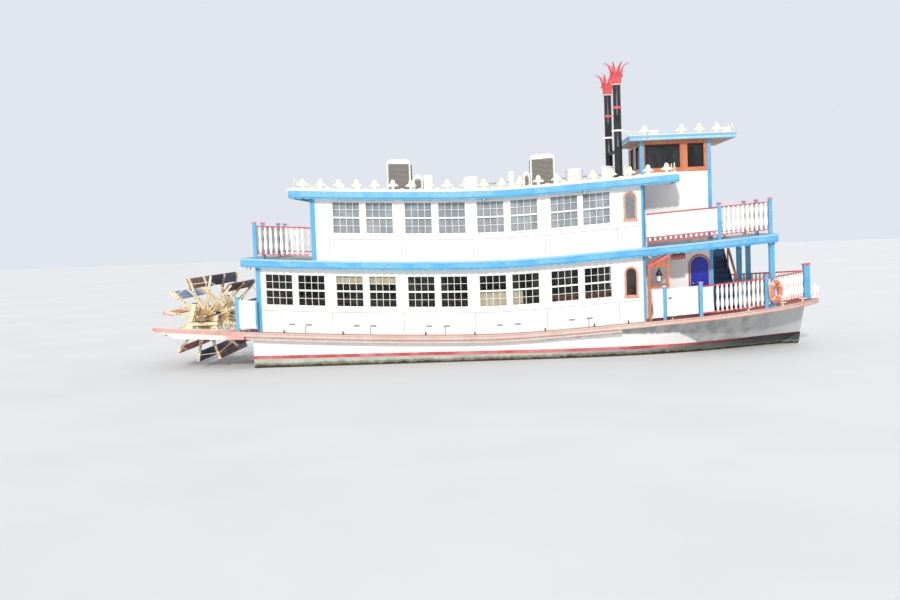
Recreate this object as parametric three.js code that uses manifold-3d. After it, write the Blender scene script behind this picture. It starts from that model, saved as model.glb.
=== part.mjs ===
// A sternwheel paddle boat: a two-deck excursion boat with a hard-chine hull, overhanging guards,
// two glazed saloons, a pilothouse tower, twin chimneys and a paddlewheel between its stern arms.
// Millimetres. +X points to the bow, +Y to port, +Z up. The origin is at the waterline, on the
// centreline, half way along the hull. Heights named ...Above are counted from the sheer line,
// which is the top of the main deck and rises towards both ends; everything built on the decks
// follows it.

import * as THREE from 'three';
import { mergeVertices } from 'three/addons/utils/BufferGeometryUtils.js';
import Module from 'manifold-3d';

const wasm = await Module();
wasm.setup();

const GAP = 0.3;                     // between pieces that touch
const SIDES = [['stbd', -1], ['port', 1]];

// Sheer line: lowest amidships, easing up to the bow and curling up to the stern arms.
const SHEER_LOW_X = -1200;
const SHEER_LOW_Z = 930;
const BOW_SLOPE = 0.0701;
const BOW_EASE = 2320;
const STERN_RISE = 12;
const STERN_POWER = 1.6;
const KNOT = 750;                    // the sheer is straight between knots this far apart

// Hull and guards
const TRANSOM_X = -9500;
const STEM_X = 10150;
const GUARD_TIP_X = 10620;
const GUARD_HALF = 3050;
const GUARD_TAPER_X = 5000;
const GUARD_TAPER_LENGTH = 5700;
const DECK_THICK = 170;
const DECK_AFT_X = -9750;
const HULL_HALF = 2750;
const CHINE_HALF = 2650;
const KEEL_THICK = 90;
const ARM_TIP_X = -12930;

// Decks above the sheer line
const UPPER_DECK_ABOVE = 2520;
const UPPER_DECK_AFT_X = -9750;
const UPPER_DECK_FORE_X = 8780;
const UPPER_FASCIA = 235;
const ROOF_ABOVE = 4950;
const ROOF_AFT_X = -8000;
const ROOF_FORE_X = 5250;
const ROOF_FASCIA = 270;
const SLAB_THICK = 110;
const FASCIA_THICK = 60;

// Saloons
const WALL_HALF = 2750;
const WALL_THICK = 60;
const POST_WIDE = 150;
const LOWER_AFT_X = -9300;
const LOWER_FORE_X = 4060;
const UPPER_AFT_X = -7320;
const UPPER_FORE_X = 4050;
const WINDOW_WIDE = 930;
const LOWER_SILL_ABOVE = 950;
const LOWER_HEAD_ABOVE = 2010;
const UPPER_SILL_ABOVE = 3475;
const UPPER_HEAD_ABOVE = 4550;
const MEETING_RAIL = 55;
const GLASS_THICK = 8;
const DOOR_WIDE = 760;
const DOOR_TALL = 1950;
const DOOR_THICK = 45;
const DOOR_CLEAR = 8;

// Tower: the deckhouse on the main deck and the pilothouse above it
const TOWER_HALF = 1600;
const TOWER_AFT_X = 4140;
const TOWER_FORE_X = 6590;
const PILOT_SILL_Z = 6420;
const PILOT_HEAD_Z = 7285;
const PILOT_WALL_TOP_Z = 7395;
const PILOT_FLOOR_Z = 5480;
const PILOT_ROOF_TOP_Z = 7565;
const PILOT_ROOF_AFT_X = 3770;
const PILOT_ROOF_FORE_X = 7410;
const PILOT_ROOF_HALF = 1900;

// Railings
const RAIL_INSET = 110;
const RAIL_TOP_ABOVE = 1020;
const RAIL_LOW_ABOVE = 110;
const RAIL_TOP_SIZE = [70, 50];      // wide, tall
const RAIL_LOW_SIZE = [60, 50];
const RAIL_POST = 120;
const BALUSTER = 55;
const UPPER_RAIL_AFT_X = -9240;
const UPPER_RAIL_FORE_X = 8500;
const BALUSTER_PITCH = 178;

// Paddlewheel
const WHEEL_X = -11330;
const WHEEL_Z = 1745;
const WHEEL_R = 1520;
const WHEEL_HALF = 2060;
const WHEEL_ARMS = 12;
const WHEEL_PHASE = 19;              // degrees, of the first arm
const SHAFT_R = 75;
const HUB_R = 400;
const BEARING_Y = 2480;

// Chimneys
const CHIMNEY_X = 3400;
const CHIMNEY_Y = 1500;
const CHIMNEY_R = 135;
const CHIMNEY_TOP_Z = 9430;
const CROWN_TOP_Z = 10150;

// Paint and timber, by eye
const paint = (color, roughness = 0.6, metalness = 0) =>
  new THREE.MeshStandardMaterial({ color, roughness, metalness });
const WHITE = paint('#ece8e0');
const AZURE = paint('#5ab0e8');
const GUARD_RED = paint('#c4746a', 0.75);
const BLACK = paint('#17181b', 0.45);
const VARNISH = paint('#b8693a', 0.4);
const ROYAL = paint('#1c2ca4', 0.4);
const NAVY = paint('#12345e', 0.5);
const ORANGE = paint('#e8825e', 0.55);
const CREAM = paint('#ebdcae', 0.65);
const TIMBER = paint('#d8c08e', 0.8);
const FLOAT_RED = paint('#a2483c', 0.8);
const CONDENSER_GREY = paint('#a7a9a6', 0.5, 0.3);
const BRONZE = paint('#a8824a', 0.35, 0.9);
const IRON = paint('#4b5358', 0.5, 0.7);
const GLASS = new THREE.MeshStandardMaterial({
  color: '#33424c', roughness: 0.08, transparent: true, opacity: 0.4 });

const boat = new THREE.Group();

function piece(name, solid, material) {
  const mesh = new THREE.Mesh(geometryOf(solid), material);
  mesh.name = name;
  boat.add(mesh);
}

// Solids

function solidFrom(position, index) {
  let volume = 0;
  const at = (i) => new THREE.Vector3().fromArray(position, 3 * i);
  for (let i = 0; i < index.length; i += 3) {
    volume += at(index[i]).dot(at(index[i + 1]).cross(at(index[i + 2])));
  }
  const outward = volume > 0 ? index : index.slice().reverse();
  return new wasm.Manifold(new wasm.Mesh({
    numProp: 3,
    vertProperties: new Float32Array(position),
    triVerts: new Uint32Array(outward) }));
}

function solidOf(geometry, matrix = new THREE.Matrix4()) {
  const bare = geometry.clone().applyMatrix4(matrix);
  bare.deleteAttribute('normal');
  bare.deleteAttribute('uv');
  const merged = mergeVertices(bare, 0.01);
  const corners = merged.index.array;
  const kept = [];
  for (let i = 0; i < corners.length; i += 3) {
    const [a, b, c] = corners.slice(i, i + 3);
    if (a !== b && b !== c && c !== a) kept.push(a, b, c);
  }
  return solidFrom(Array.from(merged.attributes.position.array), kept);
}

function geometryOf(solid) {
  const mesh = solid.getMesh();
  const geometry = new THREE.BufferGeometry();
  geometry.setAttribute('position', new THREE.BufferAttribute(mesh.vertProperties, 3));
  geometry.setIndex(new THREE.BufferAttribute(mesh.triVerts, 1));
  geometry.computeVertexNormals();
  return geometry;
}

const join = (solids) => solids.reduce((sum, one) => sum.add(one));
const cut = (solid, tools) => tools.reduce((rest, tool) => rest.subtract(tool), solid);
const mirrored = (solid, side) => (side < 0 ? solid : solid.scale([1, -1, 1]));

// Shapes

const mix = (a, b, t) => a + (b - a) * t;

// A table of [x, value] rows, straight between the rows.
function along(rows, x) {
  const next = rows.findIndex(([at]) => at >= x);
  if (next === 0) return rows[0][1];
  if (next < 0) return rows[rows.length - 1][1];
  const [x0, v0] = rows[next - 1];
  const [x1, v1] = rows[next];
  return mix(v0, v1, (x - x0) / (x1 - x0));
}

function smoothSheer(x) {
  const ahead = x - SHEER_LOW_X;
  if (ahead > 0) return SHEER_LOW_Z + BOW_SLOPE * ahead * ahead / (ahead + BOW_EASE);
  return SHEER_LOW_Z + STERN_RISE * (-ahead / 1000) ** STERN_POWER;
}

function sheer(x) {
  const knot = Math.floor(x / KNOT) * KNOT;
  return mix(smoothSheer(knot), smoothSheer(knot + KNOT), (x - knot) / KNOT);
}

const above = (height) => (x) => sheer(x) + height;
const level = (z) => () => z;

function stations(x0, x1, extra = []) {
  const inside = [...extra];
  for (let x = Math.ceil((x0 + 1) / KNOT) * KNOT; x < x1 - 1; x += KNOT) inside.push(x);
  const all = [x0, ...inside.filter((x) => x > x0 + 1 && x < x1 - 1), x1].sort((a, b) => a - b);
  return all.filter((x, i) => i === 0 || x - all[i - 1] > 1);
}

// A solid through rings of [y, z] points, one ring at each x.
function loft(xs, ring) {
  const rings = xs.map(ring);
  const count = rings[0].length;
  const position = [];
  const index = [];
  xs.forEach((x, i) => rings[i].forEach(([y, z]) => position.push(x, y, z)));
  for (let i = 0; i < xs.length - 1; i++) {
    for (let j = 0; j < count; j++) {
      const a = i * count + j;
      const b = i * count + (j + 1) % count;
      index.push(a, b, a + count, b, b + count, a + count);
    }
  }
  const area = (points) => THREE.ShapeUtils.area(points);
  [[0, true], [xs.length - 1, false]].forEach(([i, first]) => {
    const points = rings[i].map(([y, z]) => new THREE.Vector2(y, z));
    const faces = THREE.ShapeUtils.triangulateShape(points, []);
    const covered = faces.reduce((sum, corners) => sum + area(corners.map((c) => points[c])), 0);
    const same = covered * area(points) > 0;
    faces.forEach((corners) => {
      const ordered = same === first ? corners.slice().reverse() : corners;
      index.push(...ordered.map((c) => i * count + c));
    });
  });
  return solidFrom(position, index);
}

// A block whose bottom and top follow two height lines along x.
function panel(x0, x1, y0, y1, low, high) {
  return loft(stations(x0, x1), (x) => [[y0, low(x)], [y1, low(x)], [y1, high(x)], [y0, high(x)]]);
}

// A deck whose half breadth follows a function of x.
function deck(x0, x1, half, low, high, extra) {
  return loft(stations(x0, x1, extra), (x) => {
    const b = half(x);
    return [[-b, low(x)], [b, low(x)], [b, high(x)], [-b, high(x)]];
  });
}

function box(x0, x1, y0, y1, z0, z1) {
  const place = new THREE.Matrix4().makeTranslation((x0 + x1) / 2, (y0 + y1) / 2, (z0 + z1) / 2);
  return solidOf(new THREE.BoxGeometry(x1 - x0, y1 - y0, z1 - z0), place);
}

// A matrix that lays local +X from one point to another, with local +Y kept level.
function aim(from, to) {
  const x = to.clone().sub(from).normalize();
  const up = Math.abs(x.z) > 0.99 ? new THREE.Vector3(0, 1, 0) : new THREE.Vector3(0, 0, 1);
  const y = up.cross(x).normalize();
  const z = x.clone().cross(y);
  const middle = from.clone().add(to).multiplyScalar(0.5);
  return new THREE.Matrix4().makeBasis(x, y, z).setPosition(middle);
}

function bar(from, to, wide, tall) {
  const [a, b] = [new THREE.Vector3(...from), new THREE.Vector3(...to)];
  return solidOf(new THREE.BoxGeometry(a.distanceTo(b), wide, tall), aim(a, b));
}

function rod(from, to, radius, sides = 12) {
  const [a, b] = [new THREE.Vector3(...from), new THREE.Vector3(...to)];
  const turned = new THREE.Matrix4().makeRotationZ(-Math.PI / 2);
  const lying = new THREE.CylinderGeometry(radius, radius, a.distanceTo(b), sides);
  return solidOf(lying.applyMatrix4(turned), aim(a, b));
}

// A flat outline of [x, z] points pushed out to a thickness across y.
function slice(points, y0, y1) {
  const shape = new THREE.Shape(points.map(([x, z]) => new THREE.Vector2(x, z)));
  const flat = new THREE.ExtrudeGeometry(shape, { depth: y1 - y0, bevelEnabled: false });
  const upright = new THREE.Matrix4().makeRotationX(Math.PI / 2).setPosition(0, y1, 0);
  return solidOf(flat, upright);
}

// A door or window head: straight sides under a round arch, as [x, z] points.
function arch(x0, x1, z0, z1, steps = 8) {
  const radius = (x1 - x0) / 2;
  const points = [[x0, z0], [x1, z0]];
  for (let i = 0; i <= steps; i++) {
    const angle = Math.PI * i / steps;
    points.push([x0 + radius * (1 + Math.cos(angle)), z1 - radius * (1 - Math.sin(angle))]);
  }
  return points;
}

// Hull

const bowCurve = (x, start, length, full, power, fall) => {
  if (x <= start) return full;
  return full * Math.max(0.003, 1 - ((x - start) / length) ** power) ** fall;
};
const guardHalf = (x) => bowCurve(x, GUARD_TAPER_X, GUARD_TAPER_LENGTH, GUARD_HALF, 2, 0.8);
const deckHalf = (x) => bowCurve(x, 3000, 7180, HULL_HALF, 2.4, 0.9);
const chineHalf = (x) => bowCurve(x, 0, 10000, CHINE_HALF, 2.2, 1.1);

// [x, z] of the line where the bottom meets the keel, and of the chine
const RABBET = [[-9500, -250], [-7000, -550], [-4000, -720], [4000, -720], [6500, -620],
  [8000, -380], [8900, -120], [9400, 80], [9850, 300], [9980, 400], [STEM_X, 1270]];
const CHINE = [[-9500, -50], [-4000, -180], [2000, -180], [5000, -50], [7000, 100],
  [8500, 220], [9500, 330], [9980, 420], [STEM_X, 1290]];
const BOW_STATIONS = [5250, 5600, 6375, 7100, 7900, 8600, 9200, 9400, 9600, 9850, 9980, 10080];
const GUARD_STATIONS = [5375, 6375, 7125, 7875, 8625, 9375, 10050, 10200, 10350, 10450, 10540];

const SCREW_Y = 1200;
const SCREW_AFT = [-8450, -640];     // [x, z] of the propeller, and of the shaft inside the hull
const SCREW_FORE = [-5100, -405];
const SCREW_R = 270;
const SCREW_SHAFT_R = 30;
const RUDDER_X = -8950;
const RUDDER_STOCK_R = 35;
const BORE_PLAY = 4;

function hullBody() {
  return loft(stations(TRANSOM_X, STEM_X, BOW_STATIONS), (x) => {
    const top = sheer(x) - DECK_THICK - GAP;
    const chine = chineHalf(x);
    return [[0, along(RABBET, x)], [chine, along(CHINE, x)], [deckHalf(x), top],
      [-deckHalf(x), top], [-chine, along(CHINE, x)]];
  });
}

function keel() {
  const profile = [[-8000, -300], [-7800, -1020], [6600, -1020], [8000, -820], [9000, -470],
    [9700, -160], [9930, 60], [9985, 400], [9500, 250], [8000, -300], [4000, -600], [-4000, -600]];
  return slice(profile, -KEEL_THICK / 2, KEEL_THICK / 2);
}

function screwLine(t, side) {
  return [mix(SCREW_AFT[0], SCREW_FORE[0], t), side * SCREW_Y, mix(SCREW_AFT[1], SCREW_FORE[1], t)];
}

function screwBracket(side) {
  const barrel = rod(screwLine(0.07, side), screwLine(0.14, side), 65, 16);
  const [x, y, z] = screwLine(0.105, side);
  return join([barrel, box(x - 60, x + 60, y - 18, y + 18, z, -120)]);
}

const ENGINE_WELL = [-8200, -6100, -1000, 1000, -150, 1400];

function buildHull() {
  const bores = SIDES.flatMap(([, side]) => [
    rod(screwLine(0.05, side), screwLine(1, side), SCREW_SHAFT_R + BORE_PLAY, 24),
    rod([RUDDER_X, side * SCREW_Y, -600], [RUDDER_X, side * SCREW_Y, 160],
      RUDDER_STOCK_R + BORE_PLAY, 24)]);
  const brackets = SIDES.map(([, side]) => screwBracket(side));
  const solid = join([hullBody(), keel(), ...brackets]);
  piece('hull', cut(solid, [box(...ENGINE_WELL), ...bores]), WHITE);

  const [x0, x1, y0, y1, floor] = ENGINE_WELL;
  piece('engine', box(x0 + 250, x1 - 250, y0 + 300, y1 - 300, floor + GAP, 720), IRON);
}

function buildScrews() {
  SIDES.forEach(([name, side]) => {
    const shaft = rod(screwLine(-0.02, side), screwLine(0.97, side), SCREW_SHAFT_R, 16);
    const hub = rod(screwLine(-0.02, side), screwLine(0.03, side), 62, 16);
    const [x, y, z] = screwLine(0, side);
    const blades = [0, 1, 2, 3].map((i) => {
      const blade = new THREE.BoxGeometry(16, 170, SCREW_R - 30);
      const placed = new THREE.Matrix4().makeTranslation(0, 0, (SCREW_R - 30) / 2 + 30);
      const pitched = new THREE.Matrix4().makeRotationZ(side * 0.6).multiply(placed);
      const turned = new THREE.Matrix4().makeRotationX(i * Math.PI / 2).multiply(pitched);
      return solidOf(blade, turned.premultiply(new THREE.Matrix4().makeTranslation(x, y, z)));
    });
    piece(`propeller_${name}`, join([shaft, hub, ...blades]), BRONZE);

    const stock = rod([RUDDER_X, y, -900], [RUDDER_X, y, 150], RUDDER_STOCK_R, 16);
    const blade = slice([[-9290, -920], [-8760, -920], [-8740, -600], [-8780, -260], [-9260, -260]],
      y - 22, y + 22);
    piece(`rudder_${name}`, join([stock, blade]), IRON);
  });
}

// Main deck with its guards, and the two arms behind it that carry the paddlewheel

const ARM_OUTER = [[ARM_TIP_X, 2980], [-12300, 3040], [DECK_AFT_X, GUARD_HALF]];
const ARM_INNER = [[ARM_TIP_X, 2870], [-12500, 2700], [-11800, 2480], [-10900, 2300],
  [-10200, 2240], [-9950, 2200], [-9850, 2150], [DECK_AFT_X, 2060]];
const ARM_DEPTH = [[ARM_TIP_X, 120], [-12440, 200], [-12150, 335], [-10870, 310], [DECK_AFT_X, 270]];
const ARM_STATIONS = [-12440, -12300, -12150, -11800, -10870, -10500, -10200, -9950, -9850];

const STAIRWELL = { x0: 6630, x1: 7510, y0: -1000, y1: 1560 };

function buildMainDeck() {
  const top = above(0);
  const slab = deck(DECK_AFT_X, GUARD_TIP_X, guardHalf, above(-DECK_THICK), top, GUARD_STATIONS);
  const strake = panel(-9700, 3200, -2985, -2800, above(-DECK_THICK - 100), above(-DECK_THICK + 10));
  piece('main_deck', join([slab, strake, mirrored(strake, 1)]), GUARD_RED);

  const arm = loft(stations(ARM_TIP_X, DECK_AFT_X - GAP, ARM_STATIONS), (x) => {
    const low = sheer(x) - along(ARM_DEPTH, x);
    const [inner, outer] = [along(ARM_INNER, x), along(ARM_OUTER, x)];
    return [[-outer, low], [-inner, low], [-inner, top(x)], [-outer, top(x)]];
  });
  SIDES.forEach(([name, side]) => piece(`stern_arm_${name}`, mirrored(arm, side), GUARD_RED));
}

// Paddlewheel and its bearing frames

function wheelPoint(radius, degrees, y) {
  const angle = THREE.MathUtils.degToRad(degrees);
  return [WHEEL_X + radius * Math.cos(angle), y, WHEEL_Z + radius * Math.sin(angle)];
}

const ARM_WIDE = 85;
const ARM_THICK = 60;
const FLOAT_TALL = 380;
const FLOAT_THICK = 36;
const RING_R = 1275;

function wheelFrame(y) {
  const hub = rod([WHEEL_X, y - 25, WHEEL_Z], [WHEEL_X, y + 25, WHEEL_Z], HUB_R, 12);
  const parts = [hub];
  for (let i = 0; i < WHEEL_ARMS; i++) {
    const degrees = WHEEL_PHASE + 360 * i / WHEEL_ARMS;
    parts.push(bar(wheelPoint(860, degrees, y), wheelPoint(WHEEL_R, degrees, y), ARM_THICK, ARM_WIDE));
    [-9, 9].forEach((lean) => {
      const foot = wheelPoint(HUB_R - 60, degrees + lean * 1.3, y);
      parts.push(bar(foot, wheelPoint(940, degrees + lean * 0.15, y), ARM_THICK - 12, ARM_WIDE - 30));
    });
  }
  return join(parts);
}

function buildWheel() {
  const across = [-WHEEL_HALF, 0, WHEEL_HALF];
  const shaft = rod([WHEEL_X, -BEARING_Y - 90, WHEEL_Z], [WHEEL_X, BEARING_Y + 90, WHEEL_Z],
    SHAFT_R, 16);
  const frames = across.map(wheelFrame);
  piece('wheel_frames', join([shaft, ...frames]), TIMBER);

  const boards = [];
  const lift = ARM_WIDE / 2 + GAP;
  for (let i = 0; i < WHEEL_ARMS; i++) {
    const degrees = WHEEL_PHASE + 360 * i / WHEEL_ARMS;
    const angle = THREE.MathUtils.degToRad(degrees);
    const board = new THREE.BoxGeometry(FLOAT_TALL, 2 * WHEEL_HALF + 90, FLOAT_THICK);
    const out = new THREE.Matrix4().makeTranslation(WHEEL_R - FLOAT_TALL / 2, 0,
      lift + FLOAT_THICK / 2);
    const turned = new THREE.Matrix4().makeRotationY(-angle).multiply(out);
    const placed = turned.premultiply(new THREE.Matrix4().makeTranslation(WHEEL_X, 0, WHEEL_Z));
    boards.push(solidOf(board, placed));
    [-1, 1].forEach((side) => {
      const y = side * (WHEEL_HALF + ARM_THICK / 2 + 10);
      boards.push(bar(wheelPoint(RING_R, degrees + 2, y), wheelPoint(RING_R, degrees + 32, y), 16, 16));
    });
  }
  piece('wheel_floats', join(boards), FLOAT_RED);
}

function buildBearings() {
  const y = -BEARING_Y;
  const beam = box(-11740, -10760, y - 65, y + 65, WHEEL_Z - 210, WHEEL_Z - 90);
  const block = box(WHEEL_X - 160, WHEEL_X + 160, y - 60, y + 60, WHEEL_Z - 150, WHEEL_Z + 130);
  // [x at the foot, x at the head, z of the head]
  const posts = [[-11760, -11540, 2330], [-10880, -10770, 2010]].map(([foot, head, z]) =>
    bar([foot, y, sheer(foot) + 60], [head, y, z], 130, 140));
  const feet = [-11760, -10880].map((x) => panel(x - 130, x + 130, y - 80, y + 80, above(GAP), above(90)));
  const bore = rod([WHEEL_X, y - 300, WHEEL_Z], [WHEEL_X, y + 300, WHEEL_Z], SHAFT_R + 5, 24);
  const frame = cut(join([beam, block, ...posts, ...feet]), [bore]);
  SIDES.forEach(([name, side]) => piece(`bearing_frame_${name}`, mirrored(frame, side), CREAM));
}

// Saloon walls

const LOWER_WINDOWS = [-8970, -7850, -6530, -5390, -4060, -2930, -1600, -480, 860, 1990];
const UPPER_WINDOWS = [-6555, -5415, -4080, -2930, -1610, -465, 905, 2000];

// Each deck: name, ends, wall foot and head, window sill and head, window edges, arched window
const SALOONS = [
  { name: 'lower', aft: LOWER_AFT_X, fore: LOWER_FORE_X, foot: 0,
    top: UPPER_DECK_ABOVE - SLAB_THICK, sill: LOWER_SILL_ABOVE, head: LOWER_HEAD_ABOVE,
    windows: LOWER_WINDOWS, arch: [3390, 3780, 930, 1890] },
  { name: 'upper', aft: UPPER_AFT_X, fore: UPPER_FORE_X, foot: UPPER_DECK_ABOVE,
    top: ROOF_ABOVE - SLAB_THICK, sill: UPPER_SILL_ABOVE, head: UPPER_HEAD_ABOVE,
    windows: UPPER_WINDOWS, arch: [3420, 3790, 3540, 4440] },
];

function windowTools(saloon) {
  const outside = [-WALL_HALF - 50, -WALL_HALF + 200];
  const middle = (saloon.sill + saloon.head) / 2;
  const sashes = [[saloon.sill, middle - MEETING_RAIL / 2], [middle + MEETING_RAIL / 2, saloon.head]];
  const tools = saloon.windows.flatMap((x) => sashes.map(([low, high]) =>
    panel(x, x + WINDOW_WIDE, ...outside, above(low), above(high))));
  const [x0, x1, low, high] = saloon.arch;
  const base = sheer((x0 + x1) / 2);
  tools.push(slice(arch(x0, x1, base + low, base + high), ...outside));
  return tools;
}

// A doorway or door leaf across the boat, in a wall whose aft face is at x.
function doorway(x, y, foot, grow) {
  const z = sheer(x) + foot;
  return box(x - 200, x + 260, y - DOOR_WIDE / 2 - grow, y + DOOR_WIDE / 2 + grow,
    z + 60 - grow, z + 60 + DOOR_TALL + grow);
}

const DOORS = [
  // name, x of the wall's aft face, y of the door's middle, deck it stands on
  { name: 'lower_fore', x: LOWER_FORE_X - WALL_THICK, y: -2140, foot: 0 },
  { name: 'upper_aft', x: UPPER_AFT_X, y: 0, foot: UPPER_DECK_ABOVE },
  { name: 'upper_fore', x: UPPER_FORE_X - WALL_THICK, y: -2140, foot: UPPER_DECK_ABOVE },
];

function buildSaloons() {
  SALOONS.forEach((saloon) => {
    const { name, aft, fore } = saloon;
    const [low, high] = [above(saloon.foot + GAP), above(saloon.top - GAP)];
    const inner = -WALL_HALF + WALL_THICK;
    const sheet = panel(aft, fore, -WALL_HALF, inner, low, high);
    const posts = [aft, fore - POST_WIDE].map((x) =>
      panel(x, x + POST_WIDE, -WALL_HALF - 25, -WALL_HALF + POST_WIDE, low, high));
    const wall = cut(join([sheet, ...posts]), windowTools(saloon));
    const [first, last] = [saloon.windows[0], saloon.windows[saloon.windows.length - 1] + WINDOW_WIDE];
    const pane = panel(first - 40, last + 40, inner + GAP, inner + GAP + GLASS_THICK,
      above(saloon.sill - 40), above(saloon.head + 40));
    SIDES.forEach(([side, sign]) => {
      piece(`${name}_wall_${side}`, mirrored(wall, sign), WHITE);
      piece(`${name}_glass_${side}`, mirrored(pane, sign), GLASS);
    });
    const across = WALL_HALF - POST_WIDE - GAP;
    [['aft', aft], ['fore', fore - WALL_THICK]].forEach(([end, x]) => {
      const sheetAcross = panel(x, x + WALL_THICK, -across, across, low, high);
      const tools = DOORS.filter((door) => door.name === `${name}_${end}`)
        .map((door) => doorway(door.x, door.y, door.foot, DOOR_CLEAR));
      piece(`${name}_wall_${end}`, cut(sheetAcross, tools), WHITE);
    });
  });
}

function buildDoors() {
  DOORS.forEach((door) => {
    const z = sheer(door.x) + door.foot + 60;
    const face = door.x + (WALL_THICK - DOOR_THICK) / 2;
    const leaf = box(face, face + DOOR_THICK, door.y - DOOR_WIDE / 2, door.y + DOOR_WIDE / 2,
      z, z + DOOR_TALL);
    const light = box(face - 50, face + 100, door.y - 200, door.y + 200, z + 1100, z + 1700);
    piece(`${door.name}_door`, cut(leaf, [light]), ROYAL);
  });
}

// Upper deck and roof: a thin slab inside a deeper fascia

function tray(x0, x1, half, topAbove, fascia, extra) {
  const whole = deck(x0, x1, half, above(topAbove - fascia), above(topAbove), extra);
  const hollow = deck(x0 + FASCIA_THICK, x1 - FASCIA_THICK, (x) => half(x) - FASCIA_THICK,
    above(topAbove - fascia - 50), above(topAbove - SLAB_THICK), extra);
  return cut(whole, [hollow]);
}

const upperHalf = (x) => Math.min(GUARD_HALF, guardHalf(x) + 40);

function buildUpperDeck() {
  const slab = tray(UPPER_DECK_AFT_X, UPPER_DECK_FORE_X, upperHalf, UPPER_DECK_ABOVE, UPPER_FASCIA,
    GUARD_STATIONS);
  const { x0, x1, y0, y1 } = STAIRWELL;
  piece('upper_deck', cut(slab, [box(x0, x1, y0, y1, 2500, 5000)]), AZURE);
}

function buildRoof() {
  const slab = tray(ROOF_AFT_X, ROOF_FORE_X, () => GUARD_HALF, ROOF_ABOVE, ROOF_FASCIA, []);
  const tower = box(TOWER_AFT_X - 6, ROOF_FORE_X + 100, -TOWER_HALF - 26, TOWER_HALF + 26, 5000, 7000);
  piece('roof', cut(slab, [tower]), AZURE);
}

// Tower

const PILOT_SIDE_WINDOWS = [[4300, 5540], [5770, 6360]];

function buildDeckhouse() {
  const [low, high] = [above(GAP), above(UPPER_DECK_ABOVE - SLAB_THICK - GAP)];
  const doorX = [5810, 6430];
  const sill = sheer(6100) + 70;
  const wall = panel(TOWER_AFT_X, TOWER_FORE_X, -TOWER_HALF, -TOWER_HALF + WALL_THICK, low, high);
  const open = slice(arch(doorX[0] - DOOR_CLEAR, doorX[1] + DOOR_CLEAR, sill - DOOR_CLEAR,
    sill + 1930 + DOOR_CLEAR), -TOWER_HALF - 100, -TOWER_HALF + 200);
  const leaf = slice(arch(...doorX, sill, sill + 1930), -TOWER_HALF + 5, -TOWER_HALF + 5 + DOOR_THICK);
  SIDES.forEach(([name, side]) => {
    piece(`deckhouse_wall_${name}`, mirrored(cut(wall, [open]), side), WHITE);
    piece(`deckhouse_door_${name}`, mirrored(leaf, side), ROYAL);
  });
  const inside = TOWER_HALF - WALL_THICK - GAP;
  piece('deckhouse_wall_fore',
    panel(TOWER_FORE_X - WALL_THICK, TOWER_FORE_X, -inside, inside, low, high), WHITE);
}

function buildPilothouse() {
  const [low, high] = [above(UPPER_DECK_ABOVE + GAP), level(PILOT_WALL_TOP_Z)];
  const wall = panel(TOWER_AFT_X, TOWER_FORE_X, -TOWER_HALF, -TOWER_HALF + WALL_THICK, low, high);
  const posts = [TOWER_AFT_X, TOWER_FORE_X - 120].map((x) =>
    panel(x, x + 120, -TOWER_HALF - 20, -TOWER_HALF + 100, low, high));
  const lights = PILOT_SIDE_WINDOWS.map(([x0, x1]) =>
    box(x0, x1, -TOWER_HALF - 100, -TOWER_HALF + 200, PILOT_SILL_Z, PILOT_HEAD_Z));
  SIDES.forEach(([name, side]) => {
    piece(`pilothouse_wall_${name}`, mirrored(cut(join([wall, ...posts]), lights), side), WHITE);
  });
  const inside = TOWER_HALF - 100 - GAP;
  [['aft', TOWER_AFT_X, 2], ['fore', TOWER_FORE_X - WALL_THICK, 3]].forEach(([end, x, count]) => {
    const sheetAcross = panel(x, x + WALL_THICK, -inside, inside, low, high);
    const pitch = 2 * (inside - 60) / count;
    const panes = Array.from({ length: count }, (_, i) => {
      const y = -inside + 60 + pitch * i;
      return box(x - 100, x + 200, y + 50, y + pitch - 50, PILOT_SILL_Z, PILOT_HEAD_Z);
    });
    piece(`pilothouse_wall_${end}`, cut(sheetAcross, panes), WHITE);
  });

  const g0 = WALL_THICK + GAP;
  const ringSize = (shrink) => [TOWER_AFT_X + 120 + g0 + shrink, TOWER_FORE_X - 120 - g0 - shrink,
    -TOWER_HALF + g0 + 45 + shrink, TOWER_HALF - g0 - 45 - shrink];
  const around = (shrink, z0, z1) => box(...ringSize(shrink), z0, z1);
  const glass = cut(around(0, PILOT_SILL_Z - 30, PILOT_HEAD_Z + 30),
    [around(GLASS_THICK, PILOT_SILL_Z - 100, PILOT_HEAD_Z + 100)]);
  piece('pilothouse_glass', glass, GLASS);
  piece('pilothouse_roof', box(PILOT_ROOF_AFT_X, PILOT_ROOF_FORE_X, -PILOT_ROOF_HALF,
    PILOT_ROOF_HALF, PILOT_WALL_TOP_Z + GAP, PILOT_ROOF_TOP_Z), AZURE);
}

const HELM = { x: 6060, z: 6350, radius: 430 };

function buildHelm() {
  const rim = new THREE.TorusGeometry(HELM.radius - 70, 22, 6, 16);
  const facing = new THREE.Matrix4().makeRotationY(Math.PI / 2).setPosition(HELM.x, 0, HELM.z);
  const parts = [solidOf(rim, facing)];
  for (let i = 0; i < 4; i++) {
    const angle = Math.PI * i / 4;
    const [dy, dz] = [Math.cos(angle) * HELM.radius, Math.sin(angle) * HELM.radius];
    parts.push(rod([HELM.x, -dy, HELM.z - dz], [HELM.x, dy, HELM.z + dz], 14, 6));
  }
  parts.push(rod([HELM.x - 40, 0, HELM.z], [HELM.x + 240, 0, HELM.z], 60, 8));
  parts.push(box(HELM.x + 110, HELM.x + 260, -450, 450, PILOT_FLOOR_Z - 10, HELM.z + 60));
  const half = TOWER_HALF - 100 - GAP;
  parts.push(box(TOWER_AFT_X + WALL_THICK + GAP, TOWER_FORE_X - WALL_THICK - GAP,
    -half, half, PILOT_FLOOR_Z - 60, PILOT_FLOOR_Z));
  piece('helm_deck', join(parts), VARNISH);
}

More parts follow.
